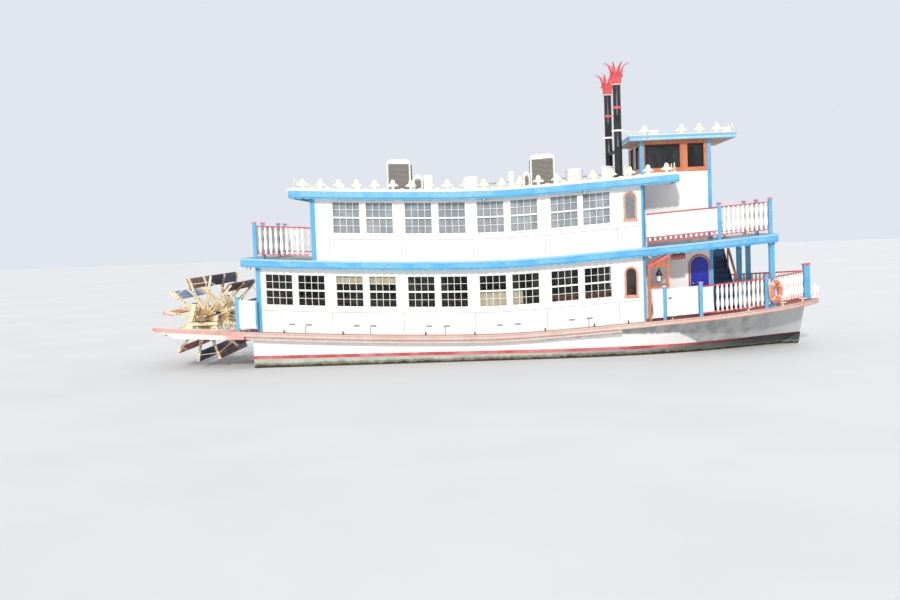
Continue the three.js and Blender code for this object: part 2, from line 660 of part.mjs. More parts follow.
// Stairs from the main deck to the upper deck, climbing to port in front of the tower

const STAIR = { x0: 6660, x1: 7480, footY: -1560, headY: 1500, steps: 12 };

function buildStairs() {
  const { x0, x1, footY, headY, steps } = STAIR;
  const base = sheer(x1) + GAP;
  const climb = sheer(x0) + UPPER_DECK_ABOVE - base - 40;
  const [run, rise] = [(headY - footY) / steps, climb / steps];
  const outline = [[footY, base]];
  for (let i = 0; i < steps; i++) {
    outline.push([footY + run * i, base + rise * (i + 1)], [footY + run * (i + 1), base + rise * (i + 1)]);
  }
  outline.push([headY, base + climb - 380], [footY + run * 1.6, base]);
  const flight = loft([x0, x1], () => outline);
  const x = x1 - 50;
  const [foot, head] = [[x, footY + 120, base + rise], [x, headY - 120, base + climb]];
  const up = ([a, b, c], height) => [a, b, c + height];
  const rail = bar(up(foot, 850), up(head, 850), 60, 60);
  const posts = [0.0, 0.5, 0.96].map((t) => {
    const y = mix(foot[1], head[1], t);
    const step = Math.floor((y - footY) / run);
    const tread = base + rise * (step + 1);
    return box(x - 25, x + 25, y - 25, y + 25, tread - 20, mix(foot[2], head[2], t) + 850);
  });
  piece('stairs', join([flight, rail, ...posts]), NAVY);
}

// Railings

const UPPER_RAIL_TOP = UPPER_DECK_ABOVE + 1120;
const UPPER_RAIL_LOW = UPPER_DECK_ABOVE + 190;

// The two ends of a straight rail over plan points [x, y], at a height above the sheer line.
function spanAt([xa, ya], [xb, yb], height) {
  return [[xa, ya, sheer(xa) + height], [xb, yb, sheer(xb) + height]];
}

// A run of railing over plan points [x, y]: rails between posts, and balusters at their pitch.
function railing(points, topAbove, lowAbove, solidRuns = []) {
  const parts = [];
  for (let i = 0; i < points.length - 1; i++) {
    const [[xa, ya], [xb, yb]] = [points[i], points[i + 1]];
    const ends = (height) => spanAt([xa, ya], [xb, yb], height);
    parts.push(bar(...ends(topAbove), ...RAIL_TOP_SIZE), bar(...ends(lowAbove), ...RAIL_LOW_SIZE));
    if (solidRuns.includes(i)) {
      parts.push(bar(...ends((topAbove + lowAbove) / 2), 30, topAbove - lowAbove));
      continue;
    }
    const length = Math.hypot(xb - xa, yb - ya);
    const count = Math.max(1, Math.round(length / BALUSTER_PITCH));
    for (let k = 1; k < count; k++) {
      const [x, y] = [mix(xa, xb, k / count), mix(ya, yb, k / count)];
      parts.push(box(x - BALUSTER / 2, x + BALUSTER / 2, y - BALUSTER / 2, y + BALUSTER / 2,
        sheer(x) + lowAbove, sheer(x) + topAbove));
    }
  }
  return parts;
}

function railPosts(points, footAbove, topAbove) {
  const half = RAIL_POST / 2;
  return points.map(([x, y]) =>
    panel(x - half, x + half, y - half, y + half, above(footAbove + GAP), above(topAbove)));
}

// [x, y] along the main deck's fore rail: the boarded bay, the turn in with its post, the deck
// post that the rails run through, and the end at the bow post
const FORE_RAIL_START = [5900, 2890];
const FORE_RAIL_BAY_END = [6330, 2810];
const FORE_RAIL_TURN = [8300, 2090];
const DECK_POST_SIDE = [8570, 1807];
const FORE_RAIL_END = [10110, 190];
const BOW_POST_X = 10250;

function buildMainRails() {
  const points = [FORE_RAIL_START, FORE_RAIL_BAY_END, [7300, 2560], FORE_RAIL_TURN, DECK_POST_SIDE,
    FORE_RAIL_END];
  const parts = railing(points, RAIL_TOP_ABOVE, RAIL_LOW_ABOVE, [0]);
  const posts = railPosts([FORE_RAIL_START, FORE_RAIL_TURN], 0, RAIL_TOP_ABOVE + 150);
  const rail = join([...parts, ...posts]);
  SIDES.forEach(([name, side]) => piece(`main_rail_${name}`, mirrored(rail, -side), WHITE));
  piece('bow_post', join([
    panel(BOW_POST_X - 110, BOW_POST_X + 110, -110, 110, above(GAP), above(1230)),
    panel(BOW_POST_X - 140, BOW_POST_X + 140, -140, 140, above(1230), above(1300))]), AZURE);

  const y = 2950;
  const bulwark = railing([[-9950, y], [-9310, y]], 1060, 150, [0]);
  const endPost = railPosts([[-9950, y]], 0, 1130);
  SIDES.forEach(([name, side]) =>
    piece(`aft_bulwark_${name}`, mirrored(join([...bulwark, ...endPost]), -side), WHITE));
}

const GATE = { aft: 4740, fore: 5800, y: 2930, low: 120, top: 1060, thick: 40 };

function buildEntries() {
  const posts = railPosts([[4660, 2930]], 0, 1130);
  const panelWall = railing([[4260, 2930], [4660, 2930]], 1040, 150, [0]);
  // [x, foot, head] of the two portal posts: the fore one stands on the sill
  const frame = [[4170, GAP, 1900], [4790, 1120, 2180]].map(([x, foot, head]) =>
    panel(x - 40, x + 40, 2880, 2980, above(foot), above(head)));
  const sill = panel(4130, 4830, 2885, 2975, above(1120), above(1180));
  const hood = bar([4130, 2800, sheer(4130) + 1860], [4990, 2800, sheer(4990) + 2290], 380, 60);
  const entry = join([...posts, ...panelWall, ...frame, sill, hood]);
  const gate = panel(GATE.aft, GATE.fore, GATE.y - GATE.thick / 2, GATE.y + GATE.thick / 2,
    above(GATE.low), above(GATE.top));
  SIDES.forEach(([name, side]) => {
    piece(`entry_${name}`, mirrored(entry, -side), VARNISH);
    piece(`gate_${name}`, mirrored(gate, -side), WHITE);
  });
}

function buildUpperRails() {
  const y = GUARD_HALF - RAIL_INSET;
  const aftX = UPPER_RAIL_AFT_X;
  const aft = [[-7410, -y], [aftX, -y], [aftX, y], [-7410, y]];
  const aftPosts = [aft[1], [aftX, -y / 2], [aftX, y / 2], aft[2]];
  piece('upper_rail_aft', join([
    ...railing(aft, UPPER_RAIL_TOP, UPPER_RAIL_LOW),
    ...railPosts(aftPosts, UPPER_DECK_ABOVE, UPPER_RAIL_TOP + 110)]), WHITE);

  const foreX = UPPER_RAIL_FORE_X;
  const half = [[4140, y], [6610, 2700], [foreX, 2010]];
  const fore = [...half.map(([x, w]) => [x, -w]), ...half.slice().reverse()];
  const forePosts = [fore[1], fore[2], [foreX, 0], fore[3], fore[4]];
  piece('upper_rail_fore', join([
    ...railing(fore, UPPER_RAIL_TOP, UPPER_RAIL_LOW, [0, 4]),
    ...railPosts(forePosts, UPPER_DECK_ABOVE, UPPER_RAIL_TOP + 110)]), WHITE);
}

// Posts and beams under the fore end of the upper deck: the main deck's rails run through the two
// side posts
const DECK_POST_MIDDLE = [7840, 0];

function buildDeckPosts() {
  const half = 85;
  const head = UPPER_DECK_ABOVE - SLAB_THICK - GAP;
  const beamLow = above(head - 160);
  const post = ([x, y]) => panel(x - half, x + half, y - half, y + half, above(GAP), above(head));
  const clear = ([wide, tall]) => [wide + 2 * GAP, tall + 2 * GAP];
  // the slots reach a little past the middle of the post, so that they meet round the bend
  const past = (a, b) => [mix(a[0], b[0], 1.003), mix(a[1], b[1], 1.003)];
  const rails = [FORE_RAIL_TURN, FORE_RAIL_END].flatMap((from) => {
    const end = past(from, DECK_POST_SIDE);
    return [bar(...spanAt(from, end, RAIL_TOP_ABOVE), ...clear(RAIL_TOP_SIZE)),
      bar(...spanAt(from, end, RAIL_LOW_ABOVE), ...clear(RAIL_LOW_SIZE))];
  });
  const side = cut(post(DECK_POST_SIDE), rails);
  const [x, y] = DECK_POST_SIDE;
  const across = panel(x - 60, x + 60, -y - 60, y + 60, beamLow, above(head));
  const foreAft = panel(DECK_POST_MIDDLE[0] - 60, x, -60, 60, beamLow, above(head));
  piece('fore_deck_posts',
    join([side, mirrored(side, 1), post(DECK_POST_MIDDLE), across, foreAft]), AZURE);
}

// Chimneys with flared crowns

function buildChimneys() {
  const foot = above(ROOF_ABOVE + GAP);
  const [x, y] = [CHIMNEY_X, -CHIMNEY_Y];
  const plate = panel(x - 230, x + 230, y - 230, y + 230, foot, above(ROOF_ABOVE + 50));
  const stack = rod([x, y, sheer(x) + ROOF_ABOVE + 30], [x, y, CHIMNEY_TOP_Z], CHIMNEY_R, 16);
  const place = new THREE.Matrix4().makeRotationX(Math.PI / 2).setPosition(x, y, CHIMNEY_TOP_Z - 20);
  const cup = new THREE.LatheGeometry([[0, 0], [155, 0], [165, 90], [185, 220], [250, 320],
    [160, 235], [0, 200]].map(([r, z]) => new THREE.Vector2(r, z)), 16);
  const tine = slice([[170, 190], [230, 280], [330, 520], [470, CROWN_TOP_Z - CHIMNEY_TOP_Z],
    [285, 555], [160, 240]], -22, 22);
  const tines = Array.from({ length: 8 }, (_, i) =>
    tine.rotate([0, 0, 45 * i + 22.5]).translate([x, y, CHIMNEY_TOP_Z]));
  const chimney = join([plate, stack, solidOf(cup, place), ...tines]);
  const brace = rod([x, -CHIMNEY_Y, 7160], [x, -GAP / 2, 7160], 35, 12);
  const flange = rod([x, -25, 7160], [x, -GAP / 2, 7160], 70, 12);
  SIDES.forEach(([name, side]) =>
    piece(`chimney_${name}`, mirrored(join([chimney, brace, flange]), side), BLACK));
}

// Roof machinery: a condenser with a smaller unit beside it on one curb, and the tanks piped to it,
// as [x, radius, height] of each
const ROOF_UNITS = [
  { name: 'roof_units_aft', main: [-4840, -3980], side: [-3900, -3560], drums: [] },
  { name: 'roof_units_fore', main: [350, 1230], side: [90, 340],
    drums: [[-1790, 255, 600], [1955, 310, 620], [3155, 232, 600]] },
];
const CONDENSER_TALL = 1230;
const SIDE_UNIT_TALL = 680;
const PIPE_ABOVE = 300;

function buildRoofUnits() {
  const foot = above(ROOF_ABOVE + GAP);
  ROOF_UNITS.forEach(({ name, main, side, drums }) => {
    const ends = [...main, ...side].sort((a, b) => a - b);
    const parts = [
      panel(ends[0] - 40, ends[3] + 40, -330, 330, foot, above(ROOF_ABOVE + 70)),
      panel(...main, -430, 430, above(ROOF_ABOVE + 60), above(ROOF_ABOVE + CONDENSER_TALL)),
      panel(...side, -280, 280, above(ROOF_ABOVE + 60), above(ROOF_ABOVE + SIDE_UNIT_TALL))];
    const middle = (main[0] + main[1]) / 2;
    drums.forEach(([x, radius, tall]) => {
      const pipe = [x, middle].map((end) => [end, 0, sheer(end) + ROOF_ABOVE + PIPE_ABOVE]);
      parts.push(
        panel(x - radius, x + radius, -radius, radius, foot, above(ROOF_ABOVE + 60)),
        rod([x, 0, sheer(x) + ROOF_ABOVE + 40], [x, 0, sheer(x) + ROOF_ABOVE + tall], radius, 16),
        rod(...pipe, 30, 8));
    });
    piece(name, join(parts), CONDENSER_GREY);
  });
}

function buildFittings() {
  const ring = new THREE.TorusGeometry(310, 85, 6, 20);
  const out = new THREE.Matrix4().makeRotationX(Math.PI / 2);
  const alongRail = new THREE.Matrix4().makeRotationZ(0.81);
  const place = new THREE.Matrix4().makeTranslation(8626, -2056, 2040);
  piece('life_ring', solidOf(ring, place.multiply(alongRail).multiply(out)), ORANGE);
}

buildHull();
buildScrews();
buildMainDeck();
buildWheel();
buildBearings();
buildSaloons();
buildDoors();
buildUpperDeck();
buildRoof();
buildDeckhouse();
buildPilothouse();
buildHelm();
buildStairs();
buildMainRails();
buildEntries();
buildUpperRails();
buildDeckPosts();
buildChimneys();
buildRoofUnits();
buildFittings();

export default boat;
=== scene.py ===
# %% [markdown]
# # A sternwheel paddle boat
# The real boat is a two-deck excursion boat: painted plywood saloons on a steel hull, sawn railings,
# two chimneys with crowns, and a timber paddlewheel between two arms at the stern. The imported solids
# give every size and place. This script keeps the flat walls and decks, gives them paint, and puts
# finer surfaces where the solids are plain: turned balusters, sash bars, mouldings, the wheel.
# The first cell loads the frame.

import math
from functools import reduce

import bpy
import numpy as np
from mathutils import Matrix, Vector


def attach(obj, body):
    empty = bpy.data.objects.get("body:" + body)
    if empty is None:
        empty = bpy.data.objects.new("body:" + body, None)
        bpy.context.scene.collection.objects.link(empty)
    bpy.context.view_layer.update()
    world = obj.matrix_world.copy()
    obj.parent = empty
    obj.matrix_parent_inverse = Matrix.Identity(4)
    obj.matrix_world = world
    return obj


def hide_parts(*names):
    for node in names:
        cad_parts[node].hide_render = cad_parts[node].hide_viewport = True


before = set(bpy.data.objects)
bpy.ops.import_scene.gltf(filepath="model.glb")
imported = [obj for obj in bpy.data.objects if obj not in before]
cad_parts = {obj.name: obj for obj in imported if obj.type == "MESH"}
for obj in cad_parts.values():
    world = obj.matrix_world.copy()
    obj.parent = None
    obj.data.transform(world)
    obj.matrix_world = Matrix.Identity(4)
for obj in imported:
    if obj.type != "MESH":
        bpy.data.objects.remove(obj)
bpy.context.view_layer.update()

# %% [markdown]
# ## The sheer line
# The decks of a boat are not level: they rise towards the bow and the stern. On this boat the decks
# were laid in straight lengths, so the curve is straight between knots 0.75 m apart. Everything built
# on the decks follows it. One function gives the deck's height, and every railing, window and
# moulding is first made as if the deck were flat and then lifted by that function.

# %% Deck heights
SHEER_LOW_X, SHEER_LOW_Z = -1.2, 0.93
BOW_SLOPE, BOW_EASE = 0.0701, 2.32
STERN_RISE, STERN_POWER = 0.012, 1.6
KNOT = 0.75
CLEAR, HAIR = 0.0005, 0.0003  # gaps between a foot and the deck under it
UPPER = 2.52                  # top of the upper deck above the main deck
ROOF = 4.95                   # top of the roof above the main deck


def smooth_sheer(x):
    """Height of the deck edge: a hyperbola ahead of the lowest point, a power curve behind it."""
    ahead = np.maximum(x - SHEER_LOW_X, 0.0)
    behind = np.maximum(SHEER_LOW_X - x, 0.0)
    return SHEER_LOW_Z + BOW_SLOPE * ahead ** 2 / (ahead + BOW_EASE) + STERN_RISE * behind ** STERN_POWER


def sheer(x):
    """The same line, straight between its knots."""
    knot = np.floor(np.asarray(x, float) / KNOT) * KNOT
    part = (x - knot) / KNOT
    return smooth_sheer(knot) * (1 - part) + smooth_sheer(knot + KNOT) * part


def deck_z(x):
    """The deck's height at one x."""
    return float(sheer(x))


def stations(x0, x1, step=KNOT):
    """The x positions from x0 to x1 with every knot between them."""
    inside = np.arange(np.ceil(x0 / step) * step, x1, step)
    return np.unique(np.round(np.concatenate([[x0], inside, [x1]]), 5))


heights = tuple(sheer(np.array([10.0, SHEER_LOW_X, -9.7])))
print("main deck: %.2f m at the bow, %.2f amidships, %.2f at the stern" % heights)

# %% [markdown]
# ## Shapes as arrays
# A mesh is three arrays: points, the corner indices of all faces in one row, and how many corners each
# face has. A grid of points over two parameters gives almost every form here: a ring carried along a
# path is a grid, and so is a turned baluster. Blender's own primitives could do some of this, but one
# array form lets hundreds of balusters be made, moved and bent at once, with no loop over vertices.

# %% Shape helpers


def outward(shape):
    """Turns a closed shape's faces outwards: where the signed volume is negative, every face is reversed."""
    points, corners, counts = shape
    starts = np.cumsum(counts) - counts
    place = np.arange(len(corners))
    start_of = np.repeat(starts, counts)
    last = start_of + np.repeat(counts, counts) - 1
    after = np.where(place == last, start_of, place + 1)
    first = points[corners[start_of]]
    volume = np.einsum("ij,ij->", first, np.cross(points[corners], points[corners[after]]))
    return (points, corners if volume > 0 else corners[start_of + last - place], counts)


def grid(points, around=False, closed=False, caps=True):
    """Quads over points[i, j]. around joins the last j to the first, closed the last i to the first,
    and caps fills the first and last ring with one face each."""
    rows, ring = points.shape[:2]
    i, j = np.meshgrid(np.arange(rows if closed else rows - 1), np.arange(ring if around else ring - 1),
                       indexing="ij")
    i2, j2 = (i + 1) % rows, (j + 1) % ring
    quads = np.stack([i * ring + j, i * ring + j2, i2 * ring + j2, i2 * ring + j], -1).reshape(-1)
    counts = np.full(i.size, 4)
    if around and caps and not closed:
        ends = np.concatenate([np.arange(ring)[::-1], (rows - 1) * ring + np.arange(ring)])
        quads, counts = np.concatenate([quads, ends]), np.append(counts, [ring, ring])
    shape = (points.reshape(-1, 3), quads, counts)
    return outward(shape) if around and (caps or closed) else shape


def merge(shapes):
    """Several shapes as one."""
    sizes = np.cumsum([0] + [len(s[0]) for s in shapes])
    return (np.concatenate([s[0] for s in shapes]),
            np.concatenate([s[1] + size for s, size in zip(shapes, sizes)]),
            np.concatenate([s[2] for s in shapes]))


def copies(shape, offsets):
    """The shape once at every offset."""
    points, corners, counts = shape
    offsets = np.asarray(offsets, float)
    moved = (points[None] + offsets[:, None]).reshape(-1, 3)
    index = (corners[None] + len(points) * np.arange(len(offsets))[:, None]).reshape(-1)
    return moved, index, np.tile(counts, len(offsets))


def changed(shape, change):
    """The shape with its points sent through a function."""
    return change(shape[0]), shape[1], shape[2]


def lifted(shape):
    """The shape lifted by the sheer at each of its points."""
    return changed(shape, lambda p: p + np.stack([0 * p[:, 0], 0 * p[:, 0], sheer(p[:, 0])], -1))


def moved(shape, by):
    """The shape moved as a whole."""
    return changed(shape, lambda p: p + by)


def mirrored(shape):
    """The shape on the other side of the boat, its faces turned so that they still point outwards."""
    points, corners, counts = shape
    starts = np.repeat(np.cumsum(counts) - counts, counts)
    back = starts * 2 + np.repeat(counts, counts) - 1 - np.arange(len(corners))
    return points * [1, -1, 1], corners[back], counts


def both(shape):
    """The shape on both sides of the boat."""
    return merge([shape, mirrored(shape)])


def turned(shape, axis, degrees, centre=(0, 0, 0)):
    """The shape turned about an axis through a centre."""
    spin = np.array(Matrix.Rotation(math.radians(degrees), 3, axis))
    return changed(shape, lambda p: (p - centre) @ spin.T + centre)


print("a shape is points, corners and counts")

# %% [markdown]
# ## Blocks
# Most of a boat is squared timber. A brick is eight corners stretched between two limits on each axis.
# A run is a long brick with a ring of corners at every knot, so that it can follow the sheer. Cubes
# scaled one by one would do the same, but rows of numbers are easier to read and to change.

# %% Bricks and runs
BRICK = np.array([[0, 0, 0], [1, 0, 0], [1, 1, 0], [0, 1, 0], [0, 0, 1], [1, 0, 1], [1, 1, 1], [0, 1, 1]])
BRICK_FACES = np.array([[0, 3, 2, 1], [4, 5, 6, 7], [0, 1, 5, 4], [1, 2, 6, 5], [2, 3, 7, 6], [3, 0, 4, 7]])


def bricks(rows):
    """One block for each row of x0, x1, y0, y1, z0, z1."""
    rows = np.asarray(rows, float).reshape(-1, 6)
    low, high = rows[:, None, 0::2], rows[:, None, 1::2]
    points = low + BRICK[None] * (high - low)
    faces = BRICK_FACES[None] + 8 * np.arange(len(rows))[:, None, None]
    return points.reshape(-1, 3), faces.reshape(-1), np.full(6 * len(rows), 4)


def run(x0, x1, y0, y1, h0, h1):
    """A long block with a ring at every knot, so that it can follow the sheer."""
    xs = stations(x0, x1)
    ring = np.array([[y0, h0], [y1, h0], [y1, h1], [y0, h1]], float)
    points = np.concatenate([np.repeat(xs[:, None, None], 4, 1), np.repeat(ring[None], len(xs), 0)], -1)
    return grid(points, around=True)


def runs(rows):
    """Long blocks from rows of x0, x1, y0, y1, h0, h1."""
    return merge([run(*row) for row in rows])


def laid(*rows):
    """Long blocks lifted by the sheer."""
    return lifted(runs(rows))


print("a brick has", len(BRICK_FACES), "faces")

# %% [markdown]
# ## Turned and swept forms
# A lathe turns a profile of radius and height about an axis: pillars, rings, knobs. A sweep carries a
# section along a path and widens it at corners, so that mouldings mitre. Curve objects with a bevel
# could sweep too, but their corners pinch, and they would be meshes only after conversion.

# %% Lathe and sweep


def lathe(profile, centre=(0, 0, 0), sides=16, axis="Z"):
    """A turned form: a profile of radius and height swept round an upright axis, or round X or Y."""
    profile = np.asarray(profile, float)
    turn = 2 * np.pi * np.arange(sides) / sides
    ring = np.stack([np.cos(turn), np.sin(turn)], -1)
    points = np.concatenate([profile[:, None, :1] * ring[None],
                             np.repeat(profile[:, None, 1:], sides, 1)], -1)
    order = {"Z": [0, 1, 2], "X": [2, 0, 1], "Y": [1, 2, 0]}[axis]
    return grid(points[..., order] + centre, around=True)


def sweep(path, section, up=(0, 0, 1), closed=False):
    """A section of side and up offsets carried along a path, widened at corners so that it mitres."""
    path, section = np.asarray(path, float), np.asarray(section, float)
    if closed:
        before, after = path - np.roll(path, 1, 0), np.roll(path, -1, 0) - path
    else:
        steps = np.diff(path, axis=0)
        before, after = np.vstack([steps[:1], steps]), np.vstack([steps, steps[-1:]])
    before = before / np.linalg.norm(before, axis=1, keepdims=True)
    after = after / np.linalg.norm(after, axis=1, keepdims=True)
    along = before + after
    along /= np.linalg.norm(along, axis=1, keepdims=True)
    side = np.cross(along, np.broadcast_to(np.asarray(up, float), along.shape))
    side /= np.linalg.norm(side, axis=1, keepdims=True)
    rise = np.cross(side, along)
    mitre = 1 / np.clip(np.einsum("ij,ij->i", along, after), 0.5, 1)
    points = (path[:, None] + section[None, :, :1] * (side * mitre[:, None])[:, None]
              + section[None, :, 1:] * rise[:, None])
    return grid(points, around=True, closed=closed)


def circle(radius, sides=8):
    """The points of a round section."""
    turn = 2 * np.pi * np.arange(sides) / sides
    return radius * np.stack([np.cos(turn), np.sin(turn)], -1)


def square(wide, tall):
    """A flat section, its middle on the path."""
    return np.array([[-wide, -tall], [wide, -tall], [wide, tall], [-wide, tall]]) / 2


def rod(start, end, radius, sides=8):
    """A straight round bar."""
    lean = np.subtract(end, start)
    up = (0, 1, 0) if abs(lean[2]) > 0.9 * np.linalg.norm(lean) else (0, 0, 1)
    return sweep([start, end], circle(radius, sides), up)


def beam(start, end, wide, tall, up=(0, 0, 1)):
    """A straight squared timber."""
    return sweep([start, end], square(wide, tall), up)


def plate(outline, low, high, plane="XZ"):
    """A flat outline given a thickness, in the plane across the boat, along it or level."""
    outline = np.asarray(outline, float)
    order = {"XZ": [0, 2, 1], "YZ": [2, 0, 1], "XY": [0, 1, 2]}[plane]
    layers = [np.column_stack([outline, np.full(len(outline), level)]) for level in (low, high)]
    return grid(np.array(layers)[..., order], around=True)


print("a round section of eight sides:", circle(1.0).round(2).tolist()[:3])

# %% [markdown]
# ## From arrays to objects
# put() makes one object from one or more shapes, each with its own material, and says which body it
# rides on and which plain solids it stands for. A small bevel catches the light on sawn edges. It could be
# modelled, but the modifier keeps the arrays small.

# %% Putting a piece in the scene
pieces = {}


def put(name, parts, slot, body="boat", replaces=(), smooth=40, bevel=0.0):
    """Makes an object of parts, a list of (shape, material); smooth is the angle that stays sharp."""
    points, corners, counts = merge([shape for shape, material in parts])
    mesh = bpy.data.meshes.new(name)
    mesh.vertices.add(len(points))
    mesh.vertices.foreach_set("co", points.astype(np.float32).reshape(-1))
    mesh.loops.add(len(corners))
    mesh.loops.foreach_set("vertex_index", corners.astype(np.int32))
    mesh.polygons.add(len(counts))
    mesh.polygons.foreach_set("loop_start", (np.cumsum(counts) - counts).astype(np.int32))
    names = list(dict.fromkeys(material.name for shape, material in parts))
    for material in names:
        mesh.materials.append(bpy.data.materials[material])
    which = [np.full(len(shape[2]), names.index(material.name)) for shape, material in parts]
    mesh.polygons.foreach_set("material_index", np.concatenate(which).astype(np.int32))
    mesh.update(calc_edges=True)
    mesh.validate()
    if smooth:
        mesh.shade_smooth()
        mesh.set_sharp_from_angle(angle=math.radians(smooth))
    piece = bpy.data.objects.new(name, mesh)
    bpy.context.scene.collection.objects.link(piece)
    if bevel:
        edge = piece.modifiers.new("edges", "BEVEL")
        edge.width, edge.segments, edge.limit_method = bevel, 1, "ANGLE"
        edge.angle_limit, edge.harden_normals = math.radians(50), True
    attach(piece, body)
    if replaces:
        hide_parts(*replaces)
    pieces[name] = len(counts)
    return piece


def put_sides(name, parts, slot, body="boat", replaces=None, sides=("stbd", "port"), **looks):
    """A piece on the first side and its mirror image on the other; {} in a name stands for the side."""
    for side, way in zip(sides, (lambda shape: shape, mirrored)):
        placed = [(way(shape), material) for shape, material in parts]
        stands_for = [replaces.format(side)] if replaces else ()
        put(name.format(side), placed, slot, body.format(side), stands_for, **looks)


# %% [markdown]
# ## Weather as node groups
# The paint on the real boat is not one colour: the sun bleaches it in patches, rain draws grey streaks
# down from every ledge, and dirt gathers just above the decks. Each of those effects is one node group
# with named inputs, used by every paint with its own values. Image textures would be quicker, but they
# need photographs and unwrapping, while noise on Object coordinates works on every piece as it lies.

# %% Node helpers


def feed(tree, target, inputs):
    """Links or sets a node's inputs by name or number."""
    for name, value in inputs.items():
        if isinstance(value, bpy.types.NodeSocket):
            tree.links.new(value, target.inputs[name])
        else:
            target.inputs[name].default_value = value


def node(tree, kind, inputs=(), **settings):
    """Adds a node, sets its properties, and feeds its inputs."""
    made = tree.nodes.new(kind)
    for name, value in settings.items():
        setattr(made, name, value)
    feed(tree, made, dict(inputs))
    return made


def calc(tree, operation, a, b=0.0, c=0.0):
    """A math node's result; the last input matters only to operations that read it."""
    return node(tree, "ShaderNodeMath", {0: a, 1: b, 2: c}, operation=operation).outputs[0]


def plus(tree, *values):
    """All the values added up."""
    return reduce(lambda a, b: calc(tree, "ADD", a, b), values)


def times(tree, *values):
    """The product of all the values."""
    return reduce(lambda a, b: calc(tree, "MULTIPLY", a, b), values)


def minus(tree, a, b):
    """The first value less the second."""
    return calc(tree, "SUBTRACT", a, b)


def split(tree, vector):
    """The X, Y and Z of a vector."""
    return node(tree, "ShaderNodeSeparateXYZ", {0: vector}).outputs


def resized(tree, came):
    """A group's coordinates times its scale."""
    return node(tree, "ShaderNodeVectorMath", {0: came["Vector"], "Scale": came["Scale"]},
                operation="SCALE").outputs[0]


def ramp(tree, value, low, high, smooth=True):
    """0 below low, 1 above high."""
    kind = "SMOOTHSTEP" if smooth else "LINEAR"
    return node(tree, "ShaderNodeMapRange", {"Value": value, "From Min": low, "From Max": high},
                interpolation_type=kind).outputs["Result"]


def blend(tree, mask, a, b):
    """Colour a where the mask is 0 and b where it is 1."""
    return node(tree, "ShaderNodeMix", {0: mask, 6: a, 7: b}, data_type="RGBA").outputs[2]


def noise(tree, vector, scale, detail=3.0, stretch=(1, 1, 1)):
    """Noise whose pattern is squeezed by stretch along each axis."""
    spread = node(tree, "ShaderNodeMapping", {"Vector": vector, "Scale": stretch})
    return node(tree, "ShaderNodeTexNoise", {"Vector": spread.outputs[0], "Scale": scale, "Detail": detail,
                                             "Roughness": 0.6}).outputs["Fac"]


def group(name, inputs, outputs):
    """An empty node group with its sockets: (name, kind) pairs, kind Float, Color or Vector."""
    tree = bpy.data.node_groups.new(name, "ShaderNodeTree")
    for way, sockets in (("INPUT", inputs), ("OUTPUT", outputs)):
        for title, kind in sockets:
            tree.interface.new_socket(title, in_out=way, socket_type="NodeSocket" + kind)
    return tree, tree.nodes.new("NodeGroupInput").outputs, tree.nodes.new("NodeGroupOutput").inputs


def rgb(red, green, blue):
    """An sRGB colour, 0 to 255, as the linear colour that shaders take."""
    part = np.array([red, green, blue]) / 255
    linear = np.where(part <= 0.04045, part / 12.92, ((part + 0.055) / 1.055) ** 2.4)
    return (*linear.tolist(), 1.0)


# %% The sheer as a group
deck_height, came, out = group("height above deck", [("Vector", "Vector")], [("Height", "Float")])
parts = split(deck_height, came["Vector"])
forward = minus(deck_height, parts["X"], SHEER_LOW_X)
ahead = calc(deck_height, "MAXIMUM", forward, 0.0)
behind = calc(deck_height, "MAXIMUM", times(deck_height, forward, -1.0), 0.0)
bow_rise = calc(deck_height, "DIVIDE",
                times(deck_height, calc(deck_height, "POWER", ahead, 2.0), BOW_SLOPE),
                plus(deck_height, ahead, BOW_EASE))
stern_rise = times(deck_height, calc(deck_height, "POWER", behind, STERN_POWER), STERN_RISE)
rise = plus(deck_height, plus(deck_height, bow_rise, stern_rise), SHEER_LOW_Z)
deck_height.links.new(minus(deck_height, parts["Z"], rise), out["Height"])
print("group:", deck_height.name)

# %% Bleached and streaked paint as a group
weather, came, out = group(
    "weathered paint",
    [("Vector", "Vector"), ("Paint", "Color"), ("Faded", "Color"), ("Dirt", "Color"),
     ("Fading", "Float"), ("Dirtiness", "Float"), ("Streaks", "Float"), ("Scale", "Float")],
    [("Color", "Color"), ("Grime", "Float"), ("Height", "Float")])
scaled = resized(weather, came)
broad = noise(weather, scaled, 1.1, 4.0)
fine = noise(weather, scaled, 11.0, 5.0)
drip = noise(weather, scaled, 5.0, 4.0, (1.8, 1.8, 0.14))
fade = times(weather, ramp(weather, broad, 0.35, 0.68), came["Fading"])
speckle = times(weather, ramp(weather, times(weather, fine, broad), 0.27, 0.42), came["Dirtiness"])
run_down = times(weather, ramp(weather, drip, 0.55, 0.78), came["Streaks"])
grime = calc(weather, "MAXIMUM", speckle, run_down)
bleached = blend(weather, fade, came["Paint"], came["Faded"])
weather.links.new(blend(weather, grime, bleached, came["Dirt"]), out["Color"])
weather.links.new(grime, out["Grime"])
weather.links.new(plus(weather, fine, times(weather, drip, 0.5)), out["Height"])
print("group:", weather.name)

# %% Boards as a group
# Across holds the coordinate that counts boards; each board has its own tone, and a dark joint.
boards, came, out = group("boards", [("Across", "Float"), ("Width", "Float"), ("Joint", "Float")],
                          [("Tone", "Float"), ("Seam", "Float")])
counted = calc(boards, "DIVIDE", came["Across"], came["Width"])
tone = node(boards, "ShaderNodeTexWhiteNoise", {"W": calc(boards, "FLOOR", counted)},
            noise_dimensions="1D").outputs["Value"]
inside = calc(boards, "FRACT", counted)
edge = calc(boards, "MINIMUM", inside, minus(boards, 1.0, inside))
apart = times(boards, edge, came["Width"])
boards.links.new(tone, out["Tone"])
boards.links.new(calc(boards, "LESS_THAN", apart, came["Joint"]), out["Seam"])
print("group:", boards.name)

